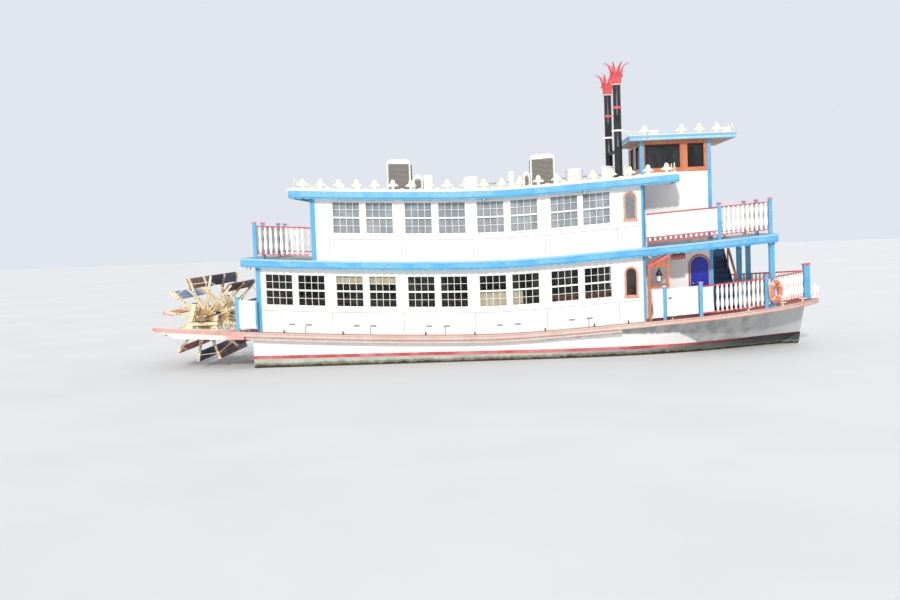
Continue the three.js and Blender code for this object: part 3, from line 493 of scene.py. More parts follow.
# %% Wood grain as a group
grain, came, out = group("wood grain", [("Vector", "Vector"), ("Scale", "Float")],
                         [("Grain", "Float"), ("Height", "Float")])
scaled = resized(grain, came)
fibres = noise(grain, scaled, 3.0, 6.0, (1.0, 14.0, 14.0))
figure = noise(grain, scaled, 1.3, 2.0, (0.6, 5.0, 5.0))
figured = plus(grain, times(grain, fibres, 0.65), times(grain, figure, 0.35))
grain.links.new(ramp(grain, figured, 0.36, 0.66), out["Grain"])
grain.links.new(fibres, out["Height"])
print("group:", grain.name)

# %% [markdown]
# ## Paints
# A paint is the weather group feeding one Principled shader. The function takes the fresh colour, the
# sun-bleached one and the dirt, and how much of each shows. Roughness rises where grime lies, and the
# brush marks and pits of old paint are a fine bump.

# %% The paint function
GRIME = rgb(118, 112, 98)


def start(name):
    """A new material: its tree, its Principled shader and its Object coordinates."""
    made = bpy.data.materials.new(name)
    made.use_nodes = True
    tree = made.node_tree
    shader = tree.nodes["Principled BSDF"]
    place = tree.nodes.new("ShaderNodeTexCoord").outputs["Object"]
    return made, tree, shader, place


def use(tree, kind, inputs):
    """A group placed in a material with its values."""
    return node(tree, "ShaderNodeGroup", inputs, node_tree=kind).outputs


def weathered(tree, place, fresh, faded, fading, dirtiness, streaks, scale, dirt=GRIME):
    """The weather group: two colours, how much of each effect, the pattern's scale and the dirt."""
    return use(tree, weather, {"Vector": place, "Paint": fresh, "Faded": faded, "Dirt": dirt,
                               "Fading": fading, "Dirtiness": dirtiness, "Streaks": streaks, "Scale": scale})


def finish_paint(tree, shader, color, grime, height, rough, bump):
    """Feeds the shader: colour, roughness that rises with grime, and a bump from a height."""
    relief = node(tree, "ShaderNodeBump", {"Height": height, "Strength": bump, "Distance": 0.004})
    feed(tree, shader, {"Base Color": color, "Roughness": plus(tree, times(tree, grime, 0.3), rough),
                        "Normal": relief.outputs[0]})


def paint(name, fresh, faded, fading=0.5, dirtiness=0.3, streaks=0.15, scale=1.0, rough=0.42, bump=0.25,
          dirt=GRIME, metallic=0.0):
    """Weathered paint on any piece."""
    made, tree, shader, place = start(name)
    worn = weathered(tree, place, fresh, faded, fading, dirtiness, streaks, scale, dirt)
    finish_paint(tree, shader, worn["Color"], worn["Grime"], worn["Height"], rough, bump)
    feed(tree, shader, {"Metallic": metallic})
    return made


# %% Paints from the boat
azure = paint("azure_paint", rgb(80, 168, 214), rgb(128, 194, 222), 0.5, 0.15, 0.12, 1.3, 0.38,
              dirt=rgb(60, 112, 150))
rail_red = paint("rail_red_paint", rgb(206, 62, 70), rgb(226, 128, 124), 0.6, 0.3, 0.1, 2.0, 0.45,
                 dirt=rgb(120, 60, 55))
cap_pink = paint("post_cap_paint", rgb(222, 92, 100), rgb(236, 168, 168), 0.8, 0.3, 0.1, 3.0, 0.45,
                 dirt=rgb(120, 60, 55))
rail_white = paint("rail_white_paint", rgb(248, 246, 241), rgb(236, 233, 225), 0.5, 0.14, 0.1, 1.6, 0.45)
trim_white = paint("trim_white_paint", rgb(249, 248, 244), rgb(240, 238, 232), 0.5, 0.1, 0.08, 1.0, 0.4)
cresting_cream = paint("cresting_cream_paint", rgb(250, 244, 222), rgb(240, 224, 184), 0.55, 0.3, 0.15,
                       2.4, 0.5, dirt=rgb(150, 132, 98))
coral = paint("crown_coral_paint", rgb(222, 74, 84), rgb(236, 128, 126), 0.55, 0.3, 0.1, 2.5, 0.42,
              dirt=rgb(90, 40, 38))
stack_black = paint("stack_black_paint", rgb(24, 25, 28), rgb(52, 54, 58), 0.6, 0.3, 0.25, 1.5, 0.36,
                    dirt=rgb(92, 84, 76))
royal = paint("door_royal_paint", rgb(14, 34, 172), rgb(32, 56, 186), 0.5, 0.2, 0.1, 2.0, 0.3,
              dirt=rgb(30, 30, 70))
navy = paint("stair_navy_paint", rgb(14, 48, 92), rgb(34, 74, 118), 0.6, 0.4, 0.15, 2.0, 0.42,
             dirt=rgb(60, 70, 82))
orange = paint("ring_orange_paint", rgb(232, 112, 72), rgb(240, 150, 116), 0.6, 0.3, 0.1, 4.0, 0.45,
               dirt=rgb(140, 80, 60))
ring_pale = paint("ring_band_paint", rgb(248, 206, 184), rgb(240, 188, 160), 0.5, 0.3, 0.1, 4.0, 0.5)
machine_grey = paint("machine_grey_paint", rgb(150, 152, 148), rgb(176, 176, 170), 0.5, 0.4, 0.3, 3.0,
                     0.42, metallic=0.2)
dark_metal = paint("dark_fitting_paint", rgb(34, 34, 38), rgb(60, 58, 56), 0.5, 0.4, 0.2, 5.0, 0.4,
                   metallic=0.5, dirt=rgb(110, 72, 44))
brass = paint("brass_fitting", rgb(196, 158, 84), rgb(150, 122, 70), 0.5, 0.3, 0.0, 8.0, 0.28, metallic=0.9,
              dirt=rgb(84, 66, 40))
bronze = paint("bronze_casting", rgb(164, 120, 66), rgb(110, 124, 96), 0.7, 0.4, 0.0, 6.0, 0.34, metallic=0.9,
               dirt=rgb(70, 72, 50))
fouled_iron = paint("fouled_iron", rgb(58, 62, 62), rgb(84, 74, 60), 0.8, 0.6, 0.2, 3.0, 0.6, metallic=0.3,
                    dirt=rgb(74, 84, 48))
print(len(bpy.data.materials), "materials so far")

# %% [markdown]
# ## Walls, decks and hull
# Three finishes depend on where they lie. The saloon walls are white plywood sheets with thin joints
# under the windows and splashes above the decks. The main deck is faded red on top and the upper one
# grey, and their edges and undersides are painted apart. The hull carries a red stripe over a
# grey-green boot-top, and slime at the water. All of it is worked out from the coordinates and from
# the height above the deck.

# %% Wall paint
PANEL = 2.465                 # length of a plywood sheet
PANEL_START = -6.70
LINE = 0.011                  # half the width of a joint
LOWER_JOINT, UPPER_JOINT = 0.75, 3.27


def near(tree, value, target, half):
    """1 where a value is within half of a target."""
    return calc(tree, "COMPARE", value, target, half)


def span(tree, value, low, high):
    """1 between two limits."""
    return times(tree, calc(tree, "GREATER_THAN", value, low), calc(tree, "LESS_THAN", value, high))


def wall_paint():
    """White paint with sheet joints, splashes above each deck and rain streaks."""
    made, tree, shader, place = start("wall_white_paint")
    height = use(tree, deck_height, {"Vector": place})["Height"]
    axes = split(tree, place)
    worn = weathered(tree, place, rgb(250, 249, 245), rgb(241, 239, 234), 0.5, 0.05, 0.06, 0.9)
    upright = use(tree, boards, {"Across": minus(tree, axes["X"], PANEL_START), "Width": PANEL,
                                 "Joint": LINE})["Seam"]
    under = calc(tree, "MAXIMUM", calc(tree, "LESS_THAN", height, LOWER_JOINT),
                 span(tree, height, UPPER, UPPER_JOINT))
    level = calc(tree, "MAXIMUM", near(tree, height, LOWER_JOINT, LINE),
                 near(tree, height, UPPER_JOINT, LINE))
    joint = calc(tree, "MAXIMUM", times(tree, upright, under), level)
    splash = calc(tree, "MAXIMUM", ramp(tree, height, 0.14, 0.0),
                  times(tree, ramp(tree, height, UPPER + 0.22, UPPER),
                        calc(tree, "GREATER_THAN", height, UPPER - 0.1)))
    patch = ramp(tree, noise(tree, place, 3.2, 5.0), 0.42, 0.7)
    splashed = times(tree, splash, patch, 0.4)
    dirty = blend(tree, splashed, worn["Color"], rgb(150, 142, 122))
    jointed = blend(tree, times(tree, joint, 0.75), dirty, rgb(128, 124, 116))
    relief = minus(tree, times(tree, worn["Height"], 0.4), joint)
    finish_paint(tree, shader, jointed, splashed, relief, 0.38, 0.3)
    return made


wall_white = wall_paint()
print("wall joints every", PANEL, "m")

# %% Deck paints
EDGE = 0.1                    # normal of a level face against an upright one


def deck_paint(name, top, top_faded, side, side_faded, below, plank, fading=0.7):
    """A deck: boards on top, painted edge, pale underside, told apart by which way a face looks."""
    made, tree, shader, place = start(name)
    facing = split(tree, node(tree, "ShaderNodeNewGeometry").outputs["Normal"])["Z"]
    axes = split(tree, place)
    laid = use(tree, boards, {"Across": axes["Y"], "Width": plank, "Joint": 0.004})
    dirt = rgb(96, 84, 76)
    upper = weathered(tree, place, top, top_faded, fading, 0.6, 0.1, 1.2, dirt)
    edge = weathered(tree, place, side, side_faded, 0.9, 0.35, 0.3, 1.2, dirt)
    toned = blend(tree, times(tree, laid["Tone"], 0.25), upper["Color"], top_faded)
    seamed = blend(tree, times(tree, laid["Seam"], 0.7), toned, rgb(60, 48, 44))
    sides = blend(tree, calc(tree, "GREATER_THAN", facing, 1 - EDGE), edge["Color"], seamed)
    color = blend(tree, calc(tree, "LESS_THAN", facing, EDGE - 1), sides, below)
    relief = minus(tree, upper["Height"], laid["Seam"])
    finish_paint(tree, shader, color, upper["Grime"], relief, 0.6, 0.35)
    return made


main_deck_paint = deck_paint("main_deck_paint", rgb(168, 84, 70), rgb(190, 128, 110), rgb(214, 184, 172),
                             rgb(226, 210, 202), rgb(196, 192, 184), 0.14)
upper_deck_paint = deck_paint("upper_deck_paint", rgb(150, 148, 142), rgb(176, 172, 164), rgb(80, 168, 222),
                              rgb(128, 198, 232), rgb(232, 230, 224), 0.2)
roof_paint = deck_paint("roof_membrane_paint", rgb(226, 226, 220), rgb(206, 204, 194), rgb(88, 174, 224),
                        rgb(140, 202, 234), rgb(236, 234, 228), 0.9)
print("deck paints:", main_deck_paint.name, upper_deck_paint.name, roof_paint.name)

# %% Stern arm paint
WHITE_FROM, WHITE_TO = -9.6, -10.4      # the deck red gives way to white along the arms


def arm_paint():
    """The arms: a salmon rim along the outer edge, white faces, and deck red fading out on top."""
    made, tree, shader, place = start("stern_arm_paint")
    height = use(tree, deck_height, {"Vector": place})["Height"]
    axes = split(tree, place)
    facing = split(tree, node(tree, "ShaderNodeNewGeometry").outputs["Normal"])["Z"]
    wear = (0.8, 0.25, 0.15, 1.5, rgb(122, 112, 96))
    salmon = weathered(tree, place, rgb(210, 146, 136), rgb(226, 184, 172), *wear)
    white = weathered(tree, place, rgb(246, 243, 232), rgb(232, 226, 210), *wear)
    ragged = plus(tree, axes["X"], times(tree, noise(tree, place, 2.5, 4.0), 0.8))
    deck_end = ramp(tree, ragged, WHITE_TO, WHITE_FROM)
    rim = times(tree, calc(tree, "GREATER_THAN", height, -0.15), calc(tree, "LESS_THAN", facing, 1 - EDGE))
    outer = calc(tree, "GREATER_THAN", calc(tree, "ABSOLUTE", axes["Y"]), 2.9)
    mask = calc(tree, "MAXIMUM", times(tree, rim, outer), deck_end)
    finish_paint(tree, shader, blend(tree, mask, white["Color"], salmon["Color"]), white["Grime"],
                 white["Height"], 0.6, 0.3)
    return made


stern_arm_paint = arm_paint()
print("the arms turn white aft of", WHITE_FROM, "m")

# %% Hull paint
DECK_THICK = 0.17             # the topsides start below this
STRIPE_Z, STRIPE_HALF, STRIPE_RISE, STRIPE_TRIM = 0.277, 0.058, 0.08, 0.0085


def hull_finish():
    """White topsides; forward, a mottled grey under the guard that is a painted shadow of the guard and the
    flare, with painted reflections of the water and paler near the stem; the red stripe and the pale
    boot-top, both darker towards the bow as painted shade; and olive slime that thins out upwards."""
    made, tree, shader, place = start("hull_weathered_and_shaded_paint")
    axes = split(tree, place)
    height = use(tree, deck_height, {"Vector": place})["Height"]
    dirt = rgb(122, 120, 110)
    side = weathered(tree, place, rgb(249, 248, 245), rgb(238, 237, 232), 0.5, 0.07, 0.08, 1.0, dirt)
    boot = weathered(tree, place, rgb(186, 196, 184), rgb(168, 174, 158), 0.9, 0.3, 0.25, 1.0, dirt)
    red = weathered(tree, place, rgb(196, 66, 74), rgb(228, 140, 140), 0.85, 0.2, 0.12, 1.0, dirt)
    shaded_stripe_red = weathered(tree, place, rgb(120, 48, 60), rgb(150, 68, 78), 0.7, 0.3, 0.12, 1.0, dirt)
    # Towards the bow the stripe and the boot-top turn darker: painted shade.
    stripe_red = blend(tree, ramp(tree, axes["X"], 4.8, 6.2), red["Color"], shaded_stripe_red["Color"])
    stripe_red = blend(tree, ramp(tree, axes["X"], 6.2, 8.2), stripe_red, rgb(66, 28, 38))
    boot_color = blend(tree, ramp(tree, axes["X"], 0.0, 3.0), boot["Color"], rgb(150, 166, 164))
    boot_color = blend(tree, ramp(tree, axes["X"], 3.5, 6.0), boot_color, rgb(88, 112, 114))
    boot_color = blend(tree, ramp(tree, axes["X"], 6.0, 8.4), boot_color, rgb(42, 60, 64))
    rough_edge = minus(tree, noise(tree, place, 5.0, 6.0), 0.5)
    middle = plus(tree, times(tree, ramp(tree, axes["X"], 5.0, 9.9), STRIPE_RISE), STRIPE_Z,
                  times(tree, calc(tree, "MAXIMUM", minus(tree, 1.2, axes["X"]), 0.0), STRIPE_TRIM))
    stripe = minus(tree, plus(tree, axes["Z"], times(tree, rough_edge, 0.025)), middle)
    # The grey under the guard is a painted shadow that deepens towards the bow, and its mottle is painted
    # reflection of the water.
    depth = plus(tree, times(tree, ramp(tree, axes["X"], -0.6, 1.0), 0.15),
                 times(tree, ramp(tree, axes["X"], 3.0, 5.0, False), 0.2),
                 times(tree, ramp(tree, axes["X"], 5.2, 7.2, False), 1.2))
    under = minus(tree, times(tree, height, -1.0), DECK_THICK)
    guard_shadow_mask = ramp(tree, minus(tree, under, plus(tree, depth, times(tree, rough_edge, 0.22))), 0.03, -0.03)
    water_reflection_mottle = plus(tree, noise(tree, place, 2.6, 6.0, (1.0, 1.0, 0.6)),
                 times(tree, ramp(tree, axes["X"], 6.0, 9.0), 0.12))
    patches = ramp(tree, water_reflection_mottle, 0.36, 0.64)
    bare_wood_and_hull_shade = blend(tree, patches, rgb(150, 152, 152), rgb(184, 186, 186))
    bare_wood_and_hull_shade = blend(tree, times(tree, ramp(tree, axes["X"], 7.4, 9.8), 0.5), bare_wood_and_hull_shade, rgb(186, 188, 192))
    top = blend(tree, times(tree, guard_shadow_mask, 0.95), side["Color"], bare_wood_and_hull_shade)
    lower = blend(tree, calc(tree, "LESS_THAN", stripe, -STRIPE_HALF), stripe_red, boot_color)
    banded = blend(tree, calc(tree, "LESS_THAN", stripe, STRIPE_HALF), top, lower)
    water = plus(tree, axes["Z"], times(tree, rough_edge, 0.2))
    olive = blend(tree, times(tree, ramp(tree, water, 0.17, 0.12), 0.85), banded, rgb(112, 110, 84))
    slime = ramp(tree, water, 0.09, 0.05)
    slimy = blend(tree, slime, olive, rgb(48, 46, 32))
    sunk = ramp(tree, axes["Z"], -0.02, -0.2)
    color = blend(tree, sunk, slimy, rgb(92, 46, 38))
    finish_paint(tree, shader, color, calc(tree, "MAXIMUM", side["Grime"], slime), side["Height"], 0.42, 0.3)
    return made


hull_paint = hull_finish()
print("hull stripe at", STRIPE_Z, "m above the water")

# %% [markdown]
# ## Wood and glass
# Varnished frames need grain that runs along the board. The grain group stretches noise along X, so a
# Combine node swaps the axes for boards that stand upright or lie across. The wheel's timbers are
# painted, and its boards were painted in many colours and wore through to wood in patches; the navy and
# maroon ones are also darker as painted shade. Glass is partly see-through by its alpha, and shows rain
# marks in its colour and roughness. Its base colour is painted light: dark glass is painted shade, and the
# pale upper glass a painted reflection.

# %% Wood


def swapped(tree, place, along):
    """Coordinates whose X runs along the given axis."""
    if along == "X":
        return place
    axes = split(tree, place)
    order = {"Y": ("Y", "X", "Z"), "Z": ("Z", "Y", "X")}[along]
    return node(tree, "ShaderNodeCombineXYZ", {i: axes[axis] for i, axis in enumerate(order)}).outputs[0]


def wood(name, dark, light, along="X", scale=1.0, rough=0.3, coat=0.5, weathered=0.25):
    """Varnished wood: two tones along the grain, darkened patches where water stood."""
    made, tree, shader, place = start(name)
    fibre = use(tree, grain, {"Vector": swapped(tree, place, along), "Scale": scale})
    toned = blend(tree, fibre["Grain"], dark, light)
    stain = times(tree, ramp(tree, noise(tree, place, 2.2, 4.0), 0.5, 0.75), weathered)
    color = blend(tree, stain, toned, rgb(74, 46, 30))
    finish_paint(tree, shader, color, stain, fibre["Height"], rough, 0.2)
    feed(tree, shader, {"Coat Weight": coat, "Coat Roughness": 0.2})
    return made


def worn_board(name, fresh, faded, wear=0.5, bare_wood_and_hull_shade=rgb(158, 136, 104)):
    """Painted timber worn through to the wood in ragged patches."""
    made, tree, shader, place = start(name)
    fibre = use(tree, grain, {"Vector": swapped(tree, place, "Y"), "Scale": 2.0})
    painted = weathered(tree, place, fresh, faded, 0.9, 0.45, 0.2, 1.6, rgb(70, 62, 52))
    patchy = plus(tree, noise(tree, place, 3.4, 6.0), times(tree, fibre["Grain"], 0.14))
    through = times(tree, ramp(tree, patchy, 0.62, 0.7), wear)
    wooden = blend(tree, fibre["Grain"], bare_wood_and_hull_shade, rgb(196, 178, 146))
    relief = plus(tree, painted["Height"], fibre["Height"])
    finish_paint(tree, shader, blend(tree, through, painted["Color"], wooden), painted["Grime"], relief,
                 0.55, 0.4)
    return made


varnish = wood("varnished_frame", rgb(150, 76, 38), rgb(206, 126, 76), "Z", 2.0)
varnish_level = wood("varnished_rail", rgb(140, 68, 34), rgb(198, 116, 66), "X", 2.0)
plywood = wood("hub_plywood", rgb(176, 138, 88), rgb(214, 180, 128), "Z", 1.5, 0.6, 0.0, 0.4)
table_wood = wood("saloon_table_wood", rgb(112, 62, 34), rgb(170, 104, 60), "X", 1.5)
timber = worn_board("wheel_timber_paint", rgb(236, 224, 190), rgb(220, 198, 152), 0.7)
# The black board paint stands for the shaded edges of the cream bearing timbers: painted shade.
shaded_edge_black = worn_board("bearing_edge_painted_shade", rgb(34, 32, 30), rgb(70, 62, 54), 0.4)
print("woods ready")

# %% Wheel board colours
# The boards are named for the colour each shows: sun-faded paint, and on the navy and maroon ones painted
# shade as well.
BOARD_PAINTS = {
    "navy": (rgb(26, 40, 84), rgb(52, 72, 120)), "maroon": (rgb(92, 30, 34), rgb(132, 66, 60)),
    "red": (rgb(168, 58, 48), rgb(204, 112, 92)), "salmon": (rgb(222, 122, 92), rgb(238, 176, 142)),
    "blue": (rgb(48, 104, 186), rgb(150, 186, 216)), "brown": (rgb(120, 52, 40), rgb(158, 98, 76)),
}
board_paint = {name: worn_board("board_" + name, *tones, 0.55) for name, tones in BOARD_PAINTS.items()}
print(len(board_paint), "board colours")

# %% Glass and fabric


def glass(name, painted_light_tint, film, clear, rough=0.05):
    """Window glass: partly see-through, with a film of dried rain in its colour and roughness. Its base
    colour is painted light: dark for painted shade, pale for a painted reflection.
    """
    made, tree, shader, place = start(name)
    marks = ramp(tree, noise(tree, place, 2.4, 5.0, (1.0, 1.0, 0.5)), 0.4, 0.75)
    feed(tree, shader, {"Base Color": blend(tree, marks, painted_light_tint, film), "IOR": 1.5,
                        "Roughness": plus(tree, times(tree, marks, 0.1), rough),
                        "Alpha": plus(tree, times(tree, marks, 0.08), clear)})
    return made


def cloth(name, fresh, shaded):
    """Curtain cloth: a fine weave in the bump and soft folds of tone."""
    made, tree, shader, place = start(name)
    weave = noise(tree, place, 160.0, 2.0, (1.0, 1.0, 2.5))
    folds = noise(tree, place, 7.0, 3.0, (1.0, 1.0, 0.1))
    relief = node(tree, "ShaderNodeBump", {"Height": weave, "Strength": 0.3, "Distance": 0.002})
    feed(tree, shader, {"Base Color": blend(tree, ramp(tree, folds, 0.35, 0.65), fresh, shaded),
                        "Normal": relief.outputs[0], "Roughness": 0.85, "Sheen Weight": 0.3})
    return made


# The dark lower and pilothouse glass is painted shade; the pale upper glass is a painted reflection.
lower_glass = glass("lower_window_glass", rgb(30, 32, 26), rgb(70, 72, 60), 0.18)
upper_glass = glass("upper_window_glass", rgb(152, 162, 168), rgb(190, 197, 200), 0.5)
pilot_glass = glass("pilothouse_glass", rgb(26, 29, 29), rgb(58, 62, 64), 0.66)
curtain_cream = cloth("cream_curtain", rgb(255, 247, 220), rgb(240, 226, 190))
curtain_grey = cloth("grey_blind", rgb(232, 234, 234), rgb(206, 212, 218))
print(len(bpy.data.materials), "materials")

# %% [markdown]
# ## The hull
# The real hull is steel plate over frames, with a hard chine and a flared bow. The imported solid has
# flat facets between frames; here the same curves are sampled every 0.15 m, so the flare shades
# smoothly. A ring of points at each station runs from the keel out to the chine and up to the deck.

# %% Hull surface
HULL_STEP = 0.15
RABBET = np.array([[-9.5, -0.25], [-7, -0.55], [-4, -0.72], [4, -0.72], [6.5, -0.62], [8, -0.38],
                   [8.9, -0.12], [9.4, 0.08], [9.85, 0.3], [9.98, 0.4], [10.15, 1.27]])
CHINE = np.array([[-9.5, -0.05], [-4, -0.18], [2, -0.18], [5, -0.05], [7, 0.1], [8.5, 0.22], [9.5, 0.33],
                  [9.98, 0.42], [10.15, 1.29]])
KEEL = [[-8, -0.3], [-7.8, -1.02], [6.6, -1.02], [8, -0.82], [9, -0.47], [9.7, -0.16], [9.93, 0.06],
        [9.985, 0.4], [9.5, 0.25], [8, -0.3], [4, -0.6], [-4, -0.6]]
SCREW_AFT, SCREW_FORE = np.array([-8.45, 1.2, -0.64]), np.array([-5.1, 1.2, -0.405])


def bow_curve(x, begin, length, full, power, fall):
    """A half breadth: full up to begin, then falling by a power curve to the bow."""
    part = np.clip((np.asarray(x, float) - begin) / length, 0, None)
    return full * np.maximum(0.003, 1 - part ** power) ** fall


def guard_half(x):
    """Half breadth of the main deck."""
    return bow_curve(x, 5.0, 5.7, 3.05, 2, 0.8)


def upper_half(x):
    """Half breadth of the upper deck."""
    return np.minimum(3.05, guard_half(x) + 0.04)


def hull_surface():
    """Rings of (y, z): straight from rabbet to chine and from chine to deck, mirrored to the other side."""
    x = np.unique(np.concatenate([stations(-9.5, 10.15, HULL_STEP), np.linspace(9.9, 10.15, 8)]))
    chine = np.stack([bow_curve(x, 0, 10, 2.65, 2.2, 1.1), np.interp(x, *CHINE.T)], -1)
    low = np.stack([0 * x, np.interp(x, *RABBET.T)], -1)
    top = np.stack([bow_curve(x, 3, 7.18, 2.75, 2.4, 0.9), sheer(x) - DECK_THICK - HAIR], -1)
    bottom, side = np.linspace(0, 1, 6)[None, :-1, None], np.linspace(0, 1, 9)[None, :, None]
    half = np.concatenate([low[:, None] * (1 - bottom) + chine[:, None] * bottom,
                           chine[:, None] * (1 - side) + top[:, None] * side], 1)
    ring = np.concatenate([half, half[:, :0:-1] * [-1, 1]], 1)
    return grid(np.concatenate([np.repeat(x[:, None, None], ring.shape[1], 1), ring], -1), around=True)


def screw_line(part):
    """A point on the port propeller shaft, 0 at the propeller and 1 inside the hull."""
    return SCREW_AFT * (1 - part) + SCREW_FORE * part


bracket_x, bracket_y, bracket_z = screw_line(0.105)
bracket = merge([lathe([[0.045, -0.14], [0.065, -0.12], [0.065, 0.12], [0.045, 0.14]], screw_line(0.105),
                       20, "X"),
                 bricks([[bracket_x - 0.06, bracket_x + 0.06, bracket_y - 0.018, bracket_y + 0.018,
                          bracket_z, -0.12]])])
put("hull_plating", [(hull_surface(), hull_paint), (plate(KEEL, -0.045, 0.045), hull_paint),
                     (both(bracket), hull_paint)], "hull_paint", replaces=["hull"], smooth=25)
print("hull faces:", pieces["hull_plating"])

# %% [markdown]
# ## Edges of the decks
# Each deck has a two-step fascia: a moulding on top, a wide azure board, and a scalloped board hung
# under it, whose shadow falls on the white walls. One function carries a strip along a line in plan,
# with a bottom and a top that may vary with the distance along the line. The scallop is the lower half
# of an ellipse repeated along that distance. It could be an array modifier, but the line bends.

# %% Deck edge helpers


def edge_line(x0, x1, half, step=0.25):
    """Points (x, y) along the starboard edge, from aft to fore, with every knot."""
    x = stations(x0, x1, step)
    return np.stack([x, -half(x)], -1)


def edge_ring(x0, x1, half, height):
    """The whole edge as a closed path: forward along starboard, across, and back along port."""
    side = edge_line(x0, x1, half, KNOT / 2)
    loop = np.concatenate([side, side[::-1] * [1, -1]])
    return np.column_stack([loop, sheer(loop[:, 0]) + height])


def strip(line, bottom, top, inner, outer, step):
    """A strip upright on a line in plan: bottom and top are functions of the distance along it."""
    line = np.asarray(line, float)
    reach = np.concatenate([[0], np.cumsum(np.linalg.norm(np.diff(line, axis=0), axis=1))])
    along = np.linspace(0, reach[-1], max(2, int(round(reach[-1] / step)) + 1))
    x, y = np.interp(along, reach, line[:, 0]), np.interp(along, reach, line[:, 1])
    run_x, run_y = np.gradient(x), np.gradient(y)
    size = np.hypot(run_x, run_y)
    out_x, out_y = run_y / size, -run_x / size
    low, high, base = bottom(along), top(along), sheer(x)
    ring = [(inner, low), (outer, low), (outer, high), (inner, high)]
    return grid(np.stack([np.stack([x + out_x * off, y + out_y * off, base + level], -1)
                          for off, level in ring], 1), around=True)


SCALLOP, SCALLOP_DEEP, SCALLOP_STEPS = 0.25, 0.06, 10


def valance(line, height):
    """A board with shallow round scallops along its lower edge."""
    reach = np.linalg.norm(np.diff(line, axis=0), axis=1).sum()
    pitch = reach / round(reach / SCALLOP)

    def lower(s):
        part = 2 * np.mod(s / pitch, 1) - 1
        return height - 0.02 - (SCALLOP_DEEP - 0.02) * np.sqrt(np.clip(1 - part ** 2, 0, 1))

    return strip(line, lower, lambda s: 0 * s + height + 0.05, -0.03, -0.012, pitch / SCALLOP_STEPS)


def deck_sides(x0, x1, half):
    """The four edges in plan, each going round the boat the same way."""
    side = edge_line(x0, x1, half)
    across = [[x1, -half(x1)], [x1, half(x1)]]
    stern = [[x0, half(x0)], [x0, -half(x0)]]
    return [side, np.array(across, float), side[::-1] * [1, -1], np.array(stern, float)]


CROWN = [(-0.01, 0.012), (0.034, 0.012), (0.034, -0.014), (0.024, -0.03), (0.024, -0.05), (0.012, -0.062),
         (-0.01, -0.062)]
BEAD = [(-0.01, 0.014), (0.012, 0.014), (0.018, 0), (0.012, -0.014), (-0.01, -0.014)]
print("scallops of", SCALLOP, "m")

# %% Fascias, valances and roof
UPPER_ENDS, ROOF_ENDS = (-9.75, 8.78), (-8.0, 5.25)
UPPER_FASCIA, ROOF_FASCIA = 0.235, 0.27


def roof_half(x):
    """Half breadth of the saloon roof."""
    return 3.05 + 0 * np.asarray(x, float)


def fascia_trim(ends, half, top, deep):
    """The crown moulding, the lower bead and the scalloped boards of one deck."""
    crown = sweep(edge_ring(*ends, half, top), CROWN, closed=True)
    bead = sweep(edge_ring(*ends, half, top - deep + 0.016), BEAD, closed=True)
    scallops = merge([valance(line, top - deep) for line in deck_sides(*ends, half)])
    return crown, bead, scallops


upper_crown, upper_bead, upper_scallops = fascia_trim(UPPER_ENDS, upper_half, UPPER, UPPER_FASCIA)
roof_crown, roof_bead, roof_scallops = fascia_trim(ROOF_ENDS, roof_half, ROOF, ROOF_FASCIA)
azure_light = paint("azure_moulding_paint", rgb(138, 204, 236), rgb(188, 226, 242), 0.6, 0.2, 0.15, 1.4, 0.36,
                    dirt=rgb(70, 104, 130))
put("upper_deck_trim", [(upper_crown, azure_light), (upper_bead, azure), (upper_scallops, azure)],
    "blue_paint", smooth=30)
put("roof_trim", [(roof_crown, trim_white), (roof_bead, azure), (roof_scallops, azure)], "blue_paint",
    smooth=30)

RIM = [(-0.02, 0.016), (0.012, 0.016), (0.022, 0.01), (0.022, -0.01), (0.012, -0.016), (-0.02, -0.016)]
guard_salmon = paint("guard_salmon_paint", rgb(212, 146, 132), rgb(226, 178, 164), 0.7, 0.25, 0.2, 1.4, 0.55,
                     dirt=rgb(150, 112, 98))
guard_pale = paint("guard_pale_paint", rgb(204, 166, 152), rgb(216, 196, 186), 0.9, 0.3, 0.2, 1.4, 0.55,
                   dirt=rgb(160, 136, 120))
guard_x = np.unique(np.concatenate([stations(-9.75, 10.62, KNOT / 2), np.linspace(9.8, 10.62, 10)]))
guard_side = np.column_stack([guard_x, -guard_half(guard_x), sheer(guard_x)])
FORE_PAINT = 4.5              # ahead of this the pink is newer
ahead_of = guard_side[guard_side[:, 0] >= FORE_PAINT]
behind_it = guard_side[guard_side[:, 0] <= FORE_PAINT]
bow_path = np.concatenate([ahead_of, ahead_of[::-1] * [1, -1, 1]])
bow_rims = merge([sweep(bow_path + [0, 0, drop], RIM) for drop in (-0.04, -0.145)])
side_rims = [both(sweep(behind_it + [0, 0, drop], RIM)) for drop in (-0.04, -0.145)]
put("guard_rub_rails", [(bow_rims, guard_salmon), (merge(side_rims), guard_pale)], "guard_paint", smooth=30)
print("trim faces:", pieces["upper_deck_trim"], pieces["roof_trim"])

# %% [markdown]
# ## Cresting
# A row of sawn fleurs stands on the roof and on the pilothouse. Each is a flat board cut to three lobes
# and a foot. The outline is its half width over its height: a stem, a bell curve for the side lobes,
# and a round head. Its edges are rounded by making its two faces a little smaller than its middle. An
# extruded text glyph would also do, but it would need a font.

# %% Fleurs
FLEUR_TALL, FLEUR_WIDE, FLEUR_PITCH = 0.36, 0.4, 0.617
FLEUR_THICK = 0.03


